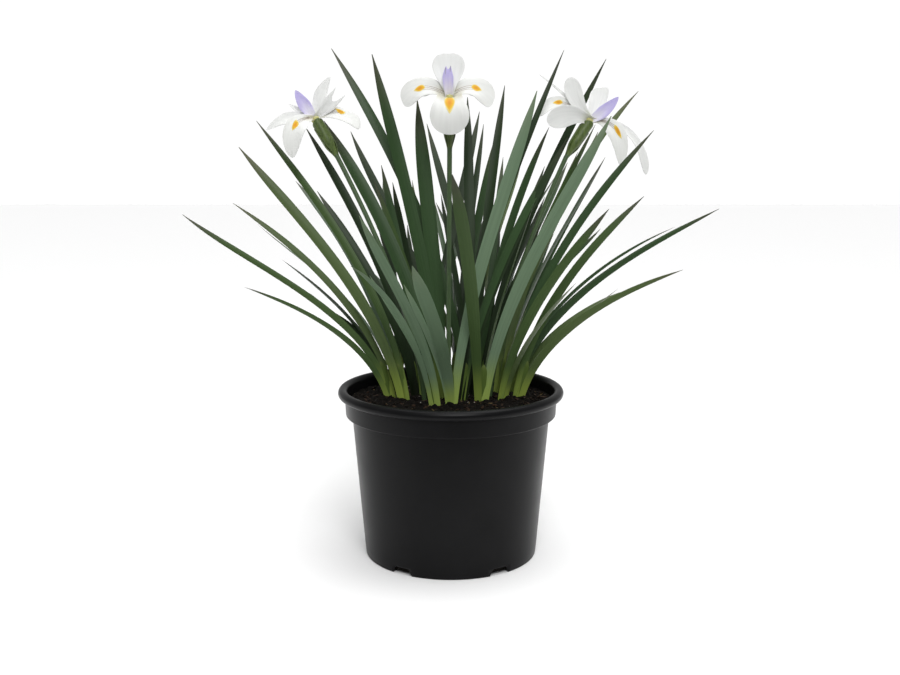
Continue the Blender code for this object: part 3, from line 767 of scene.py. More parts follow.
# %% [markdown]
# ### The leaves grow in geometry nodes
#
# A straight line of a few dozen points stands on every row's point. Each point on it is
# then moved to its place on the row's Bezier curve, found by mixing the four points in
# pairs until one is left. The line is turned so that its normal lies along the blade,
# and a lens-shaped profile is swept along it, widest where the rule says.

# %% Leaf tree
def read(tree, name, kind="FLOAT"):
    """The value of a named attribute."""
    return pick(add(tree, "GeometryNodeInputNamedAttribute", {"Name": name},
                    data_type=kind).outputs, 0)


def keep(tree, geometry, name, value, kind="FLOAT", domain="POINT"):
    """Store a value as a named attribute."""
    return add(tree, "GeometryNodeStoreNamedAttribute", {
        "Geometry": geometry, "Name": name, "Value": value}, data_type=kind, domain=domain)


def math_node(tree, operation, *values):
    """One sum on numbers."""
    return add(tree, "ShaderNodeMath", dict(enumerate(values)), operation=operation)


def lens_profile(tree, given):
    """A closed lens from -1 to 1, which keeps its place across as an attribute."""
    circle = add(tree, "GeometryNodeCurvePrimitiveCircle", {
        "Resolution": given["Sides"], "Radius": 1.0})
    parts = add(tree, "ShaderNodeSeparateXYZ", {
        "Vector": add(tree, "GeometryNodeInputPosition")})
    across = parts.outputs["X"]
    bulge = math_node(tree, "POWER", math_node(tree, "ABSOLUTE", across), 1.4)
    body = math_node(tree, "SUBTRACT", 1.0, bulge)
    half = math_node(tree, "MULTIPLY", body, given["Thickness"])
    height = math_node(tree, "MULTIPLY", half, math_node(tree, "SIGN", parts.outputs["Y"]))
    place = add(tree, "ShaderNodeCombineXYZ", {"X": across, "Y": height})
    kept = keep(tree, circle, "across", across)
    return add(tree, "GeometryNodeSetPosition", {"Geometry": kept, "Position": place})


def leaf_width(tree, given, along):
    """Half the width of the blade, by the rule for its share of the length."""
    rest = math_node(tree, "SUBTRACT", 1.0, given["Foot Width"])
    grow = math_node(tree, "MULTIPLY", rest, math_node(tree, "DIVIDE", along,
                                                       given["Widest"]))
    low = math_node(tree, "MINIMUM", math_node(tree, "ADD", given["Foot Width"], grow), 1.0)
    past = math_node(tree, "DIVIDE", math_node(tree, "SUBTRACT", along, given["Taper Start"]),
                     math_node(tree, "SUBTRACT", 1.0, given["Taper Start"]))
    fall = math_node(tree, "POWER", math_node(tree, "MAXIMUM", past, 0.0),
                     given["Taper Power"])
    share = math_node(tree, "MULTIPLY", low, math_node(tree, "SUBTRACT", 1.0, fall))
    full = math_node(tree, "MULTIPLY", read(tree, "blade_width"), 0.5)
    return math_node(tree, "MULTIPLY", math_node(tree, "MAXIMUM", share, given["End Width"]),
                     full)


def leaf_tree(materials):
    """Geometry nodes: a sword leaf on every point, from the point's own attributes."""
    tree = bpy.data.node_groups.new("sword leaves", "GeometryNodeTree")
    face = tree.interface
    face.new_socket("Geometry", in_out="INPUT", socket_type="NodeSocketGeometry")
    for name in ("Thickness", "Foot Width", "Widest", "Taper Start", "Taper Power",
                 "End Width"):
        face.new_socket(name, in_out="INPUT", socket_type="NodeSocketFloat")
    for name in ("Rings", "Sides"):
        face.new_socket(name, in_out="INPUT", socket_type="NodeSocketInt")
    face.new_socket("Geometry", in_out="OUTPUT", socket_type="NodeSocketGeometry")
    given = add(tree, "NodeGroupInput").outputs
    line = add(tree, "GeometryNodeCurvePrimitiveLine", {"End": (0, 0, 1)})
    spine = add(tree, "GeometryNodeResampleCurve", {"Curve": line, "Count": given["Rings"]})
    stood = add(tree, "GeometryNodeInstanceOnPoints", {
        "Points": given["Geometry"], "Instance": spine})
    lines = add(tree, "GeometryNodeRealizeInstances", {"Geometry": stood})
    share = add(tree, "GeometryNodeSplineParameter").outputs["Factor"]
    lines = keep(tree, lines, "along", share)
    along = read(tree, "along")
    corners = [read(tree, name, "FLOAT_VECTOR")
               for name in ("foot", "foot_handle", "tip_handle", "tip")]
    while len(corners) > 1:
        corners = [pick(add(tree, "ShaderNodeMix", {"Factor": along, "A": a, "B": b},
                            data_type="VECTOR").outputs, 0)
                   for a, b in zip(corners, corners[1:])]
    bent = add(tree, "GeometryNodeSetPosition", {"Geometry": lines, "Position": corners[0]})
    ahead = add(tree, "GeometryNodeInputTangent")
    lie = add(tree, "ShaderNodeVectorRotate", {
        "Vector": read(tree, "aside", "FLOAT_VECTOR"), "Axis": ahead,
        "Angle": math_node(tree, "MULTIPLY", read(tree, "twist"), along)},
        rotation_type="AXIS_ANGLE")
    turned = add(tree, "GeometryNodeSetCurveNormal", {"Curve": bent, "Normal": lie},
                 mode="FREE")
    swept = add(tree, "GeometryNodeCurveToMesh", {
        "Curve": turned, "Profile Curve": lens_profile(tree, given),
        "Scale": leaf_width(tree, given, along), "Fill Caps": True})
    across = math_node(tree, "MULTIPLY_ADD", read(tree, "across"), 0.5, 0.5)
    layout = add(tree, "ShaderNodeCombineXYZ", {"X": across, "Y": read(tree, "along")})
    mapped = keep(tree, swept, "UVMap", layout, "FLOAT2", "CORNER")
    smooth = add(tree, "GeometryNodeSetShadeSmooth", {"Geometry": mapped, "Shade Smooth": True})
    angle = add(tree, "GeometryNodeInputMeshEdgeAngle").outputs["Unsigned Angle"]
    fold = math_node(tree, "GREATER_THAN", angle, math.radians(50))
    result = add(tree, "GeometryNodeSetShadeSmooth", {
        "Geometry": smooth, "Selection": fold, "Shade Smooth": False}, domain="EDGE")
    upper = math_node(tree, "GREATER_THAN", read(tree, "along"), FOOT_END)
    ending = math_node(tree, "GREATER_THAN", read(tree, "along"), TIP_START)
    zone = math_node(tree, "ADD", upper, ending)
    code = math_node(tree, "MULTIPLY_ADD", read(tree, "tone"), 3.0, zone)
    result = add(tree, "GeometryNodeRealizeInstances", {"Geometry": result})
    for number, material in enumerate(materials):
        chosen = math_node(tree, "COMPARE", code, float(number), 0.1)
        result = add(tree, "GeometryNodeSetMaterial", {
            "Geometry": result, "Selection": chosen, "Material": material})
    add(tree, "NodeGroupOutput", {"Geometry": result})
    return tree


leaves = with_nodes(piece_from("sword_leaves", row_mesh(ROWS), None),
                    leaf_tree(LEAF_MATERIALS), {
    "Thickness": 0.11, "Foot Width": LEAF_FOOT_WIDTH, "Widest": LEAF_WIDEST,
    "Taper Start": LEAF_TAPER_START, "Taper Power": LEAF_TAPER_POWER,
    "End Width": LEAF_END_WIDTH, "Rings": 42, "Sides": 12})
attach(leaves, "root")
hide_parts(*FANS_IN_FRAME)
print("leaves:", triangles(leaves), "triangles")

# %% [markdown]
# ## Stems and bracts
#
# Each flower stands on a thin round stem that leans over with the leaves. Where the
# flower comes out, two boat-shaped bracts wrap the bud, one from each side, the inner
# one a little taller. A stem is a Blender curve with a round bevel. A bract is a sheet
# bent part of the way round the stem, then given its thickness.

# %% Stem sizes
# Each scape: the foot of its stem (x, y), where the bracts start (x, y, z), and the
# heart of its bloom (x, y, z)
SCAPES = {
    "front": ((-2, -10), (-1, -25, 358), (-1, -30, 402)),
    "left": ((-23, -7), (-98, 8, 352), (-117, 10, 385)),
    "right": ((35, 11), (101, 20, 352), (122, 25, 384)),
}
STEM_RADIUS = 2.1
STEM_DROOP = 1.4
BRACT_RADIUS = 5.2
BRACT_WRAP = 105.0
OVARY_RADIUS = 2.4
SPATHE_IN_FRAME = ["scape_" + side for side in SCAPES]


# %% Stem materials
def herb_skin(name, low, high):
    """Green skin of a stem or bract, streaked along its length."""
    material = bpy.data.materials.new(name)
    material.use_nodes = True
    tree = material.node_tree
    shader = tree.nodes["Principled BSDF"]
    place = add(tree, "ShaderNodeTexCoord")
    stretch = add(tree, "ShaderNodeMapping", {
        "Vector": place.outputs["Object"], "Scale": (1400.0, 1400.0, 60.0)})
    streak = add(tree, "ShaderNodeTexNoise", {"Vector": stretch, "Scale": 1.0, "Detail": 3.0})
    spread = add(tree, "ShaderNodeMapRange", {
        "Value": streak.outputs[0], "From Min": 0.3, "From Max": 0.7})
    color = add(tree, "ShaderNodeMix", {
        "Factor": spread, "A": linear(low), "B": linear(high)}, data_type="RGBA")
    bump = add(tree, "ShaderNodeBump", {
        "Strength": 0.3, "Distance": 0.1 * MM, "Height": streak.outputs[0]})
    tree.links.new(pick(color.outputs, 0), shader.inputs["Base Color"])
    tree.links.new(bump.outputs[0], shader.inputs["Normal"])
    shader.inputs["Roughness"].default_value = 0.5
    return material


STEM_GREEN = herb_skin("flower_stem", "#33482b", "#445a34")
BRACT_GREEN = herb_skin("green_bract", "#3c4d20", "#5a6c31")


# %% Stems
def stem_curve(foot, neck, heart):
    """A round stem from the soil through the neck to the foot of the flower."""
    start = Vector((*foot, GROUND - SUNK))
    points = arch(start, Vector(neck), FOOT_LEAN, STEM_DROOP)
    curve = bpy.data.curves.new("stem", "CURVE")
    curve.dimensions = "3D"
    curve.bevel_depth = STEM_RADIUS * MM
    curve.bevel_resolution = 4
    curve.resolution_u = 40
    curve.use_fill_caps = True
    spline = curve.splines.new("BEZIER")
    spline.bezier_points.add(2)
    low, middle, high = spline.bezier_points
    top = Vector(neck).lerp(Vector(heart), 0.7)
    third = (top - Vector(neck)) / 3
    places = ((low, points[0], points[0] - Vector((0, 0, 1)), points[1]),
              (middle, points[3], points[2], points[3] + third),
              (high, top, top - third, top + third))
    for point, place, before, after in places:
        point.handle_left_type = point.handle_right_type = "FREE"
        point.co, point.handle_left, point.handle_right = place * MM, before * MM, after * MM
    return curve


def joined(name, pieces):
    """One object from several, whose materials stay."""
    work = bmesh.new()
    materials = []
    for piece in pieces:
        offset = len(materials)
        materials += list(piece.data.materials)
        mesh = piece.data.copy()
        for face in mesh.polygons:
            face.material_index += offset
        work.from_mesh(mesh)
        bpy.data.meshes.remove(mesh)
        bpy.data.objects.remove(piece, do_unlink=True)
    mesh = bpy.data.meshes.new(name)
    work.to_mesh(mesh)
    work.free()
    for material in materials:
        mesh.materials.append(material)
    return piece_from(name, mesh, None)


stem_pieces = []
for side, (foot, neck, heart) in SCAPES.items():
    stem = bpy.data.objects.new("stem_" + side, stem_curve(foot, neck, heart))
    bpy.context.scene.collection.objects.link(stem)
    stem.data.materials.append(STEM_GREEN)
    stem_pieces.append(settled(stem))
stems = joined("flower_stems", stem_pieces)
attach(stems, "root")
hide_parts(*SPATHE_IN_FRAME)
print("stems:", triangles(stems), "triangles")


# %% Sheets
WELD = 0.05


def sheet_mesh(name, sheets, material):
    """A mesh of several sheets, each a grid of points with a UV of its own."""
    points, faces, corners = [], [], []
    for grid, layout in sheets:
        first = len(points)
        rows, columns = len(grid), len(grid[0])
        points += [point * MM for row in grid for point in row]
        flat = [spot for row in layout for spot in row]
        for i in range(rows - 1):
            for j in range(columns - 1):
                ring = (i * columns + j, i * columns + j + 1,
                        (i + 1) * columns + j + 1, (i + 1) * columns + j)
                faces.append([first + k for k in ring])
                corners += [flat[k] for k in ring]
    mesh = bpy.data.meshes.new(name)
    mesh.from_pydata(points, [], faces)
    uv = mesh.uv_layers.new(name="UVMap")
    for loop, spot in zip(uv.data, corners):
        loop.uv = spot
    mesh.materials.append(material)
    return mesh


def thick_sheets(name, sheets, material, thickness, offset=0.0):
    """A piece of sheets with a thickness in millimetres, smooth with crisp edges."""
    piece = piece_from(name, sheet_mesh(name, sheets, material), None)
    shell = piece.modifiers.new("thickness", "SOLIDIFY")
    shell.thickness = thickness * MM
    shell.offset = offset
    shell.use_rim = True
    piece = settled(piece)
    work = bmesh.new()
    work.from_mesh(piece.data)
    bmesh.ops.remove_doubles(work, verts=work.verts, dist=WELD * MM)
    bmesh.ops.recalc_face_normals(work, faces=work.faces)
    work.to_mesh(piece.data)
    work.free()
    piece.data.shade_smooth()
    piece.data.set_sharp_from_angle(angle=math.radians(50))
    return piece


def smooth_step(share):
    """A share that leaves 0 and reaches 1 without a kink."""
    share = min(1.0, max(0.0, share))
    return share * share * (3 - 2 * share)


# %% Bracts
# Each bract of a pair: how far round it faces in degrees, where it starts and ends on
# the way from the neck to the heart, and its girth
BRACTS = ((205.0, 0.0, 0.86, 1.06), (15.0, 0.06, 0.98, 0.94))
BRACT_ROWS = 26
BRACT_COLUMNS = 16


def bract_sheet(neck, heart, facing, start, end, girth):
    """A boat-shaped sheet that wraps part of the way round the stem."""
    neck, heart = Vector(neck), Vector(heart)
    ahead = (heart - neck).normalized()
    front = Vector((0, -1, 0))
    front = (front - ahead * front.dot(ahead)).normalized()
    side = ahead.cross(front)
    low, high = neck.lerp(heart, start), neck.lerp(heart, end)
    grid, layout = [], []
    for i in range(BRACT_ROWS + 1):
        share = i / BRACT_ROWS
        swell = STEM_RADIUS - 0.3 + (BRACT_RADIUS * girth - STEM_RADIUS + 0.3) * (
            0.75 * smooth_step(share / 0.45) + 0.25 * share)
        row, spots = [], []
        for j in range(BRACT_COLUMNS + 1):
            across = j / BRACT_COLUMNS * 2 - 1
            angle = math.radians(facing + BRACT_WRAP * across)
            reach = share * (1 - 0.14 * abs(across)**1.5)
            spot = low.lerp(high, reach)
            row.append(spot + (front * math.cos(angle) + side * math.sin(angle)) * swell)
            spots.append((across * 0.5 + 0.5, share))
        grid.append(row)
        layout.append(spots)
    return grid, layout


bract_sheets = [bract_sheet(neck, heart, *bract)
                for _, neck, heart in SCAPES.values() for bract in BRACTS]
bracts = thick_sheets("spathe_bracts", bract_sheets, BRACT_GREEN, 0.5)
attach(bracts, "root")
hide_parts(*SPATHE_IN_FRAME)
print("bracts:", triangles(bracts), "triangles")

# %% [markdown]
# ## Blooms
#
# An african iris opens three broad falls, each with a yellow guide, and three narrower
# plain standards. Over the claw of each fall stands a violet style arm with a forked
# crest. Every petal is a sheet on a bent line from the heart to its tip: narrow at the
# claw, widest at two thirds, round at the end, cupped across, and a little ruffled. A
# few named outlines say how blunt, pointed or forked it is, so that a row in the table
# is only its place.

# %% Petal outlines
# Each outline: the width of the claw as a share, where the blade is widest, its end, the
# cup across it as a share of its width, and its ruffle in millimetres. A round end has a
# bluntness and a notch, and a forked one the place of its points and the depth between.
OUTLINES = {
    "round_fall": (0.62, 0.66, ("round", 2.1, 0.0), 0.10, 0.7),
    "fall": (0.34, 0.62, ("round", 3.0, 0.0), 0.08, 0.6),
    "tongue": (0.18, 0.50, ("round", 1.85, 0.0), 0.08, 0.5),
    "notched": (0.28, 0.70, ("round", 2.2, 0.08), 0.10, 0.5),
    "standard": (0.42, 0.66, ("round", 2.2, 0.0), 0.14, 0.6),
    "pointed": (0.50, 0.55, ("round", 1.35, 0.0), 0.12, 0.4),
    "blunt": (0.50, 0.72, ("round", 3.5, 0.0), 0.08, 0.6),
    "ribbon": (0.60, 0.80, ("round", 2.0, 0.0), 0.15, 0.5),
    "arm": (0.72, 0.62, ("fork", 0.40, 0.35), 0.22, 0.1),
    "crest": (0.60, 0.50, ("round", 1.5, 0.0), 0.15, 0.3),
    "forked": (0.45, 0.62, ("fork", 0.88, 0.85), 0.12, 0.1),
    "thread": (0.90, 0.30, ("round", 1.2, 0.0), 0.10, 0.0)}
PETAL_THICKNESS = 0.45
PETAL_ROWS = 30
PETAL_COLUMNS = 20

# %% Bloom tables
# Each petal: its kind and outline, its tip and the place that it bends towards, both
# from the heart (x, y, z), the way its inner face looks, its width, and how much its end
# slants. A fall's guide has its start and end along the petal, its half width, and its
# shift to one side.
BLOOMS = {
    "front": [
        ("fall", "round_fall", (0, -16, -31), (0, -22, -6.5),
         (0, -0.8, 0.6), 32, 0, (0.02, 0.6, 4.4, 0)),
        ("fall", "fall", (-39.5, 5, -3.5), (-24, 2, 16),
         (-0.15, -0.8, 0.55), 22, -0.09, (0.46, 0.7, 3.2, 0)),
        ("fall", "fall", (36.5, 5, -3.5), (20.5, 2, 16.5),
         (0.15, -0.8, 0.55), 22, 0.09, (0.46, 0.7, 3.2, 0)),
        ("standard", "notched", (-1, 9, 36), (-1, 3, 17.5),
         (0, -1, 0.15), 27, 0, None),
        ("standard", "standard", (-21, 24, 1.5), (-14.5, 12, 11),
         (0, -0.2, 1), 16, 0, None),
        ("standard", "standard", (20.5, 24, 1.5), (14.5, 12, 11),
         (0, -0.2, 1), 16, 0, None),
        ("arm", "arm", (-1, -2, 25), (-2, -5, 13),
         (0, -1, 0.1), 9, 0, None),
        ("arm", "arm", (-10, 22, 10), (-4.5, 12, 7),
         (0.3, -0.6, 0.6), 7, 0, None),
        ("arm", "arm", (9, 22, 10), (4.5, 12, 7),
         (-0.3, -0.6, 0.6), 7, 0, None)],
    "left": [
        ("fall", "tongue", (-17, -24, -33), (-21, -20, 2),
         (-0.25, -0.9, 0.25), 20.5, 0, (0.38, 0.6, 2.8, 0.25)),
        ("fall", "fall", (39.5, -6, -5), (22.5, -8, 10),
         (0.25, -0.75, 0.6), 15, 0.11, (0.48, 0.66, 2.5, -0.5)),
        ("fall", "fall", (-1.5, 34, 7), (0.5, 18, 6.5),
         (0, 0, 1), 14, 0, (0.5, 0.7, 2.5, 0)),
        ("standard", "pointed", (12.5, 9, 36), (1.5, 5, 21),
         (-0.2, -1, 0.1), 11, 0, None),
        ("standard", "pointed", (-41.5, -5, -9.5), (-23.5, -4, 6),
         (-0.1, -0.8, 0.5), 11.5, 0, None),
        ("standard", "standard", (6, 30, 6.5), (4, 16, 8),
         (0, 0, 1), 14, 0, None),
        ("arm", "crest", (-16, -4, 24), (-9, -4, 10),
         (0.2, -1, 0.3), 11, 0, None),
        ("standard", "forked", (23, -3, 23.5), (11, -4, 9.5),
         (-0.1, -1, 0.3), 12.5, 0, None),
        ("standard", "pointed", (-23.5, 6, 13), (-14.5, 4, 7),
         (0, -0.8, 0.4), 5, 0, None)],
    "right": [
        ("fall", "fall", (-46, -6, 5), (-29, 2, 28),
         (-0.2, -0.85, 0.45), 11.5, -0.05, (0.46, 0.66, 2.4, 0.0)),
        ("fall", "tongue", (26.5, -12, -39.5), (29, -12, 1),
         (0.2, -1, 0.1), 16, 0, (0.44, 0.68, 2.0, -0.35)),
        ("fall", "fall", (6, 34, 8), (4, 18, 9.5),
         (0, 0, 1), 14, 0, (0.5, 0.7, 2.5, 0)),
        ("standard", "standard", (-17, 2, 37), (-16.5, -2, 17.5),
         (0.1, -1, 0.1), 15.5, 0, None),
        ("standard", "blunt", (10, 12, 28.5), (8, 6, 14.5),
         (-0.15, -1, 0.1), 16, 0.06, None),
        ("standard", "standard", (-38, -16, -3), (-19, -12, 10),
         (0, -0.9, -0.1), 19, 0, None),
        ("standard", "ribbon", (51, 2, -47), (46, 2, 0),
         (0.4, -0.9, 0.4), 9, 0, None),
        ("arm", "crest", (23.5, -7, 20), (11, -6, 5),
         (-0.2, -1, 0.3), 11, 0, None),
        ("standard", "thread", (-44.5, 13, 40.5), (-26, 8, 27.5),
         (0.1, -1, 0.3), 3.2, 0, None)],
}


# %% Petal surface
def petal_end(across, style, first, second):
    """How far the end of a petal reaches at a place across it, from 0 to 1."""
    if style == "fork":
        if abs(across) < first:
            return 1 - second * (1 - (abs(across) / first)**2)
        return 1 - ((abs(across) - first) / (1 - first))**1.2
    return (1 - abs(across)**first)**(1 / first) - second * math.exp(-(across / 0.28)**2)


def petal_half(petal, along):
    """Half the width of a petal at a share of its length."""
    claw = OUTLINES[petal[1]][0]
    return petal[5] / 2 * (claw + (1 - claw) * smooth_step(along))


def petal_surface(heart, petal):
    """A function that gives the point of a petal at a share along and across it."""
    tip, bend, face = [Vector(part) for part in petal[2:5]]
    slant = petal[6]
    widest, end, cup, ruffle = OUTLINES[petal[1]][1:]
    phase = (tip.x * 1.7 + tip.z * 0.9) % 6.28

    def place(along, across, lift=0.0):
        reach = along * (widest + (1 - widest) * petal_end(across, *end) + slant * across)
        spot = heart + bend * (2 * reach * (1 - reach)) + tip * reach**2
        ahead = (bend * (2 - 4 * reach) + tip * (2 * reach)).normalized()
        lie = ahead.cross(face).normalized()
        inner = lie.cross(ahead)
        hollow = cup * petal[5] * across**2 * (0.4 + 0.6 * (1 - along))
        wave = ruffle * math.sin(9 * reach + phase + 1.5 * across) * across**2 * along
        return spot + lie * (petal_half(petal, along) * across) + inner * (hollow + wave + lift)

    return place


def petal_sheet(heart, petal):
    """The grid of one petal, and its UV: across from 0 to 1, and along."""
    place = petal_surface(heart, petal)
    spread = [math.sin(math.pi / 2 * (j / PETAL_COLUMNS * 2 - 1))
              for j in range(PETAL_COLUMNS + 1)]
    grid, layout = [], []
    for i in range(PETAL_ROWS + 1):
        along = i / PETAL_ROWS
        grid.append([place(along, across) for across in spread])
        layout.append([(across * 0.5 + 0.5, along) for across in spread])
    return grid, layout


# %% Guides and veins
GUIDE_ROWS = 16
GUIDE_COLUMNS = 10
GUIDE_RISE = 0.28
VEINS = (-0.27, 0.0, 0.27)
VEIN_START = 0.12
VEIN_HALF = 0.15
VEIN_RISE = 0.22
STROKES = ((-0.5, 0.74, 0.97), (0.42, 0.80, 1.0))
STROKE_HALF = 0.3


def strip_on(heart, petal, first, last, half_width, shift, rise):
    """A strip on the inner face of a petal, its half width given along it."""
    place = petal_surface(heart, petal)
    grid, layout = [], []
    for i in range(GUIDE_ROWS + 1):
        share = i / GUIDE_ROWS
        along = first + (last - first) * share
        half = half_width(share) / petal_half(petal, along)
        turns = [j / GUIDE_COLUMNS * 2 - 1 for j in range(GUIDE_COLUMNS + 1)]
        grid.append([place(along, shift + half * turn, rise * (1 - 0.5 * turn**2))
                     for turn in turns])
        layout.append([(turn * 0.5 + 0.5, share) for turn in turns])
    return grid, layout


def guide_sheet(heart, petal):
    """The raised guide on a fall: a drop that follows the petal's inner face."""
    first, last, width, shift = petal[7]

    def drop(share):
        return max(0.05, width * math.sin(math.pi * min(1.0, share**0.8))**0.8)

    return strip_on(heart, petal, first, last, drop, shift, GUIDE_RISE)


def vein_sheets(heart, petal):
    """Thin brown veins that run from the heart to a guide that is far from it."""
    first, last, _, shift = petal[7]
    if first < VEIN_START:
        return []
    return [strip_on(heart, petal, VEIN_START, (first + last) / 2, lambda _: VEIN_HALF,
                     shift + side, VEIN_RISE) for side in VEINS]


def stroke_sheets(heart, petal):
    """The dark lines on the forked crest of a style arm."""
    if petal[1] != "arm":
        return []
    return [strip_on(heart, petal, first, last, lambda _: STROKE_HALF, shift, VEIN_RISE)
            for shift, first, last in STROKES]


# %% [markdown]
# ### Petal materials
#
# Petals are white because light is scattered by the air between their cells, so they are
# soft, let a little light through, and shade gently. Faint veins run along them. The
# style arms are the same tissue with a violet dye that deepens towards the crest, and a
# guide is a velvety patch, yellow at its edge and orange in its middle.

# %% Petal materials
def petal_tissue(name, low, high, first, last, sheen=0.2):
    """Petal tissue whose colour runs from one tone to another along the petal."""
    material = bpy.data.materials.new(name)
    material.use_nodes = True
    tree = material.node_tree
    shader = tree.nodes["Principled BSDF"]
    layout = add(tree, "ShaderNodeUVMap", uv_map="UVMap")
    parts = add(tree, "ShaderNodeSeparateXYZ", {"Vector": layout})
    stretch = add(tree, "ShaderNodeMapping", {"Vector": layout, "Scale": (8.0, 1.2, 1.0)})
    vein = add(tree, "ShaderNodeTexNoise", {"Vector": stretch, "Scale": 1.0, "Detail": 2.0})
    run = add(tree, "ShaderNodeMapRange", {
        "Value": parts.outputs["Y"], "From Min": first, "From Max": last},
        interpolation_type="SMOOTHSTEP")
    base = add(tree, "ShaderNodeMix", {
        "Factor": run, "A": linear(low), "B": linear(high)}, data_type="RGBA")
    shade = add(tree, "ShaderNodeMapRange", {
        "Value": vein.outputs[0], "From Min": 0.3, "From Max": 0.7,
        "To Min": 0.95, "To Max": 1.04})
    color = add(tree, "ShaderNodeVectorMath", {
        0: pick(base.outputs, 0), "Scale": shade.outputs[0]}, operation="SCALE")
    tree.links.new(color.outputs[0], shader.inputs["Base Color"])
    shader.inputs["Roughness"].default_value = 0.6
    shader.inputs["Specular IOR Level"].default_value = 0.2
    shader.inputs["Sheen Weight"].default_value = sheen
    shader.inputs["Subsurface Weight"].default_value = 0.6
    shader.inputs["Subsurface Radius"].default_value = (1.0, 1.0, 1.0)
    shader.inputs["Subsurface Scale"].default_value = 1 * MM
    return material


FALL_WHITE = petal_tissue("white_fall", "#c5c2b0", "#dddedb", 0.05, 0.35)
STANDARD_WHITE = petal_tissue("white_standard", "#cdcfc4", "#dddedc", 0.05, 0.3)
ARM_VIOLET = petal_tissue("violet_style_arm", "#e4e2ee", "#bdb5df", 0.1, 0.9)
VEIN_BROWN = petal_tissue("brown_vein", "#97867a", "#b8aba0", 0.2, 1.0)
STROKE_VIOLET = petal_tissue("dark_crest_line", "#a9a3bd", "#8f8aa3", 0.0, 1.0)
TUBE_WHITE = petal_tissue("floral_tube", "#b9b77c", "#dcdcc8", 0.2, 0.8)


def guide_velvet():
    """The velvety guide: orange in its middle, then yellow, and pale at its edge."""
    material = petal_tissue("yellow_guide", "#dfab1c", "#dfab1c", 0.0, 1.0, 0.5)
    tree = material.node_tree
    layout = add(tree, "ShaderNodeUVMap", uv_map="UVMap")
    away = add(tree, "ShaderNodeVectorMath", {0: layout, 1: (0.5, 0.45, 0.0)},
               operation="DISTANCE")
    ramp = add(tree, "ShaderNodeValToRGB", {"Fac": away.outputs["Value"]})
    stops = ramp.color_ramp.elements
    stops[0].position, stops[0].color = 0.08, linear("#d98d0c")
    stops[1].position, stops[1].color = 0.50, linear("#e8d589")
    middle = stops.new(0.36)
    middle.color = linear("#e2b01c")
    tree.links.new(ramp.outputs["Color"], tree.nodes["Principled BSDF"].inputs["Base Color"])
    return material


GUIDE_YELLOW = guide_velvet()


def sheets_of(kind, make):
    """One sheet for each petal of a kind, over all blooms."""
    return [make(Vector(SCAPES[side][2]), petal)
            for side, petals in BLOOMS.items() for petal in petals if petal[0] == kind]


BLOOMS_IN_FRAME = ["bloom_" + side for side in SCAPES]
BLOOM_PIECES = {
    "falls": (sheets_of("fall", petal_sheet), FALL_WHITE, PETAL_THICKNESS),
    "standards": (sheets_of("standard", petal_sheet), STANDARD_WHITE, PETAL_THICKNESS),
    "style_arms": (sheets_of("arm", petal_sheet), ARM_VIOLET, PETAL_THICKNESS),
    "nectar_guides": (sheets_of("fall", guide_sheet), GUIDE_YELLOW, 0.3),
    "claw_veins": (sum(sheets_of("fall", vein_sheets), []), VEIN_BROWN, 0.2),
    "crest_lines": (sum(sheets_of("arm", stroke_sheets), []), STROKE_VIOLET, 0.2)}
for name, (sheets, material, thickness) in BLOOM_PIECES.items():
    petals = thick_sheets(name, sheets, material, thickness)
    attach(petals, "root")
    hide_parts(*BLOOMS_IN_FRAME)
    print(name, triangles(petals), "triangles")


# %% Ovaries and tubes
# The green ovary under each bloom, and the pale tube on it that holds the petals: places
# on the way from the neck to the heart, and the girth there
OVARY = ((0.5, 0.6), (0.62, 1.0), (0.78, 1.05), (0.9, 0.8), (0.94, 0.05))
TUBE = ((0.80, 0.75), (0.88, 1.15), (0.95, 1.55), (0.99, 1.7), (1.03, 1.35), (1.05, 0.05))
OVARY_SIDES = 20


def turned_piece(name, neck, heart, profile, material):
    """A round body along the line from the neck into the heart."""
    neck, heart = Vector(neck), Vector(heart)
    ahead = (heart - neck).normalized()
    front = ahead.orthogonal().normalized()
    other = ahead.cross(front)
    work = bmesh.new()
    rings = []
    for share, girth in profile:
        middle = neck + (heart - neck) * share
        rings.append([work.verts.new(middle + (
            front * math.cos(2 * math.pi * j / OVARY_SIDES)
            + other * math.sin(2 * math.pi * j / OVARY_SIDES)) * OVARY_RADIUS * girth)
            for j in range(OVARY_SIDES)])
    for low, high in zip(rings, rings[1:]):
        for j in range(OVARY_SIDES):
            k = (j + 1) % OVARY_SIDES
            work.faces.new((low[j], low[k], high[k], high[j]))
    work.faces.new(rings[0])
    work.faces.new(rings[-1])
    return piece_from(name, mesh_of(name, work, 60), material)


TURNED = {"ovaries": (OVARY, BRACT_GREEN, "stem_green"),
          "floral_tubes": (TUBE, TUBE_WHITE, "petal_white")}
for name, (profile, material, slot) in TURNED.items():
    turned = joined(name, [turned_piece(f"{name}_{side}", neck, heart, profile, material)
                           for side, (_, neck, heart) in SCAPES.items()])
    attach(turned, "root")
    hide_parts(*BLOOMS_IN_FRAME)
    print(name, triangles(turned), "triangles")

# %% [markdown]
# ## Stage
#
# The plant stands on plain white paper. A wide light overhead leaves only a soft patch
# of shade close to the pot, and a softbox in front lights the petals and the near
# leaves. The room is dimmer in front than behind, and the paper ends in front of the pot,
# below the picture's edge, so the wall and collar mirror something dark and stay black.
# The camera stands a metre in front and looks down a little, as when a plant on a table
# is looked at.

# %% Floor
FLOOR_FRONT = 0.32
FLOOR_SIDE = 6.0
SKY_FRONT = 0.16
SKY_BACK = 0.55
SKY_SEEN = 1.02
SUN_STRENGTH = 2.2
SUN_SPREAD = 60.0


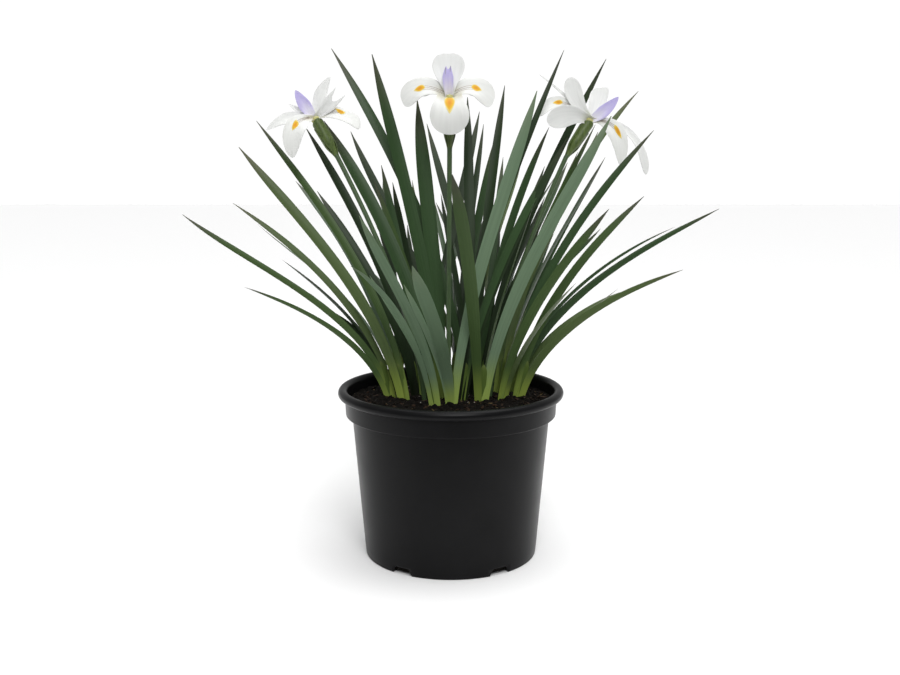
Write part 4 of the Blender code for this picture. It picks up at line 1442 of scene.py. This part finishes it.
def matte_paper():
    """White background paper, with a faint tooth."""
    material = bpy.data.materials.new("white_paper")
    material.use_nodes = True
    tree = material.node_tree
    shader = tree.nodes["Principled BSDF"]
    place = add(tree, "ShaderNodeTexCoord")
    tooth = add(tree, "ShaderNodeTexNoise", {
        "Vector": place.outputs["Object"], "Scale": 900.0})
    tone = add(tree, "ShaderNodeMix", {
        "Factor": tooth.outputs[0], "A": linear("#f4f4f4"), "B": linear("#f8f8f8")},
        data_type="RGBA")
    tree.links.new(pick(tone.outputs, 0), shader.inputs["Base Color"])
    shader.inputs["Roughness"].default_value = 0.9
    shader.inputs["Specular IOR Level"].default_value = 0.1
    return material


floor_mesh = bpy.data.meshes.new("floor")
floor_mesh.from_pydata([(-FLOOR_SIDE, -FLOOR_FRONT, 0), (FLOOR_SIDE, -FLOOR_FRONT, 0),
                        (FLOOR_SIDE, FLOOR_SIDE, 0), (-FLOOR_SIDE, FLOOR_SIDE, 0)],
                       [], [(0, 1, 2, 3)])
floor = piece_from("floor", floor_mesh, matte_paper())

world = bpy.data.worlds.new("white room")
bpy.context.scene.world = world
world.use_nodes = True
heading = add(world.node_tree, "ShaderNodeSeparateXYZ", {
    "Vector": add(world.node_tree, "ShaderNodeTexCoord")})
glow = add(world.node_tree, "ShaderNodeMapRange", {
    "Value": heading.outputs["Y"], "From Min": -1.0, "From Max": 1.0,
    "To Min": SKY_FRONT, "To Max": SKY_BACK})
seen = add(world.node_tree, "ShaderNodeLightPath").outputs["Is Camera Ray"]
strength = add(world.node_tree, "ShaderNodeMapRange", {
    "Value": seen, "To Min": glow.outputs[0], "To Max": SKY_SEEN})
background = world.node_tree.nodes["Background"]
background.inputs["Color"].default_value = (1, 1, 1, 1)
world.node_tree.links.new(strength.outputs[0], background.inputs["Strength"])


# %% Lights
def softbox(name, place, size, power):
    """A square area light that faces the plant."""
    light = bpy.data.lights.new(name, "AREA")
    light.size = size
    light.energy = power
    lamp = bpy.data.objects.new(name, light)
    lamp.location = place
    aim = Vector((0, 0, 0.2)) - Vector(place)
    lamp.rotation_euler = aim.to_track_quat("-Z", "Y").to_euler()
    bpy.context.scene.collection.objects.link(lamp)


def ceiling_light():
    """A wide soft light from straight above, the same over the whole floor."""
    light = bpy.data.lights.new("ceiling_light", "SUN")
    light.energy = SUN_STRENGTH
    light.angle = math.radians(SUN_SPREAD)
    lamp = bpy.data.objects.new("ceiling_light", light)
    lamp.rotation_euler = (math.radians(-4), math.radians(7), 0)
    bpy.context.scene.collection.objects.link(lamp)


ceiling_light()
softbox("front_light", (0.2, -1.9, 1.6), 1.2, 36)

# %% Camera
CAMERA_PLACE = (0.0, -0.9669, 0.362)
CAMERA_TILT = 9.792
FOCAL_PIXELS = 1110.3
PICTURE_WIDTH = 900
SENSOR_WIDTH = 36.0
SHIFT_PIXELS = -0.8

lens = bpy.data.cameras.new("photo_camera")
lens.sensor_width = SENSOR_WIDTH
lens.lens = FOCAL_PIXELS * SENSOR_WIDTH / PICTURE_WIDTH
lens.shift_x = SHIFT_PIXELS / PICTURE_WIDTH
camera = bpy.data.objects.new("photo_camera", lens)
camera.location = CAMERA_PLACE
camera.rotation_euler = (math.radians(90 - CAMERA_TILT), 0, 0)
bpy.context.scene.collection.objects.link(camera)
bpy.context.scene.camera = camera
bpy.context.scene.view_settings.view_transform = "Standard"
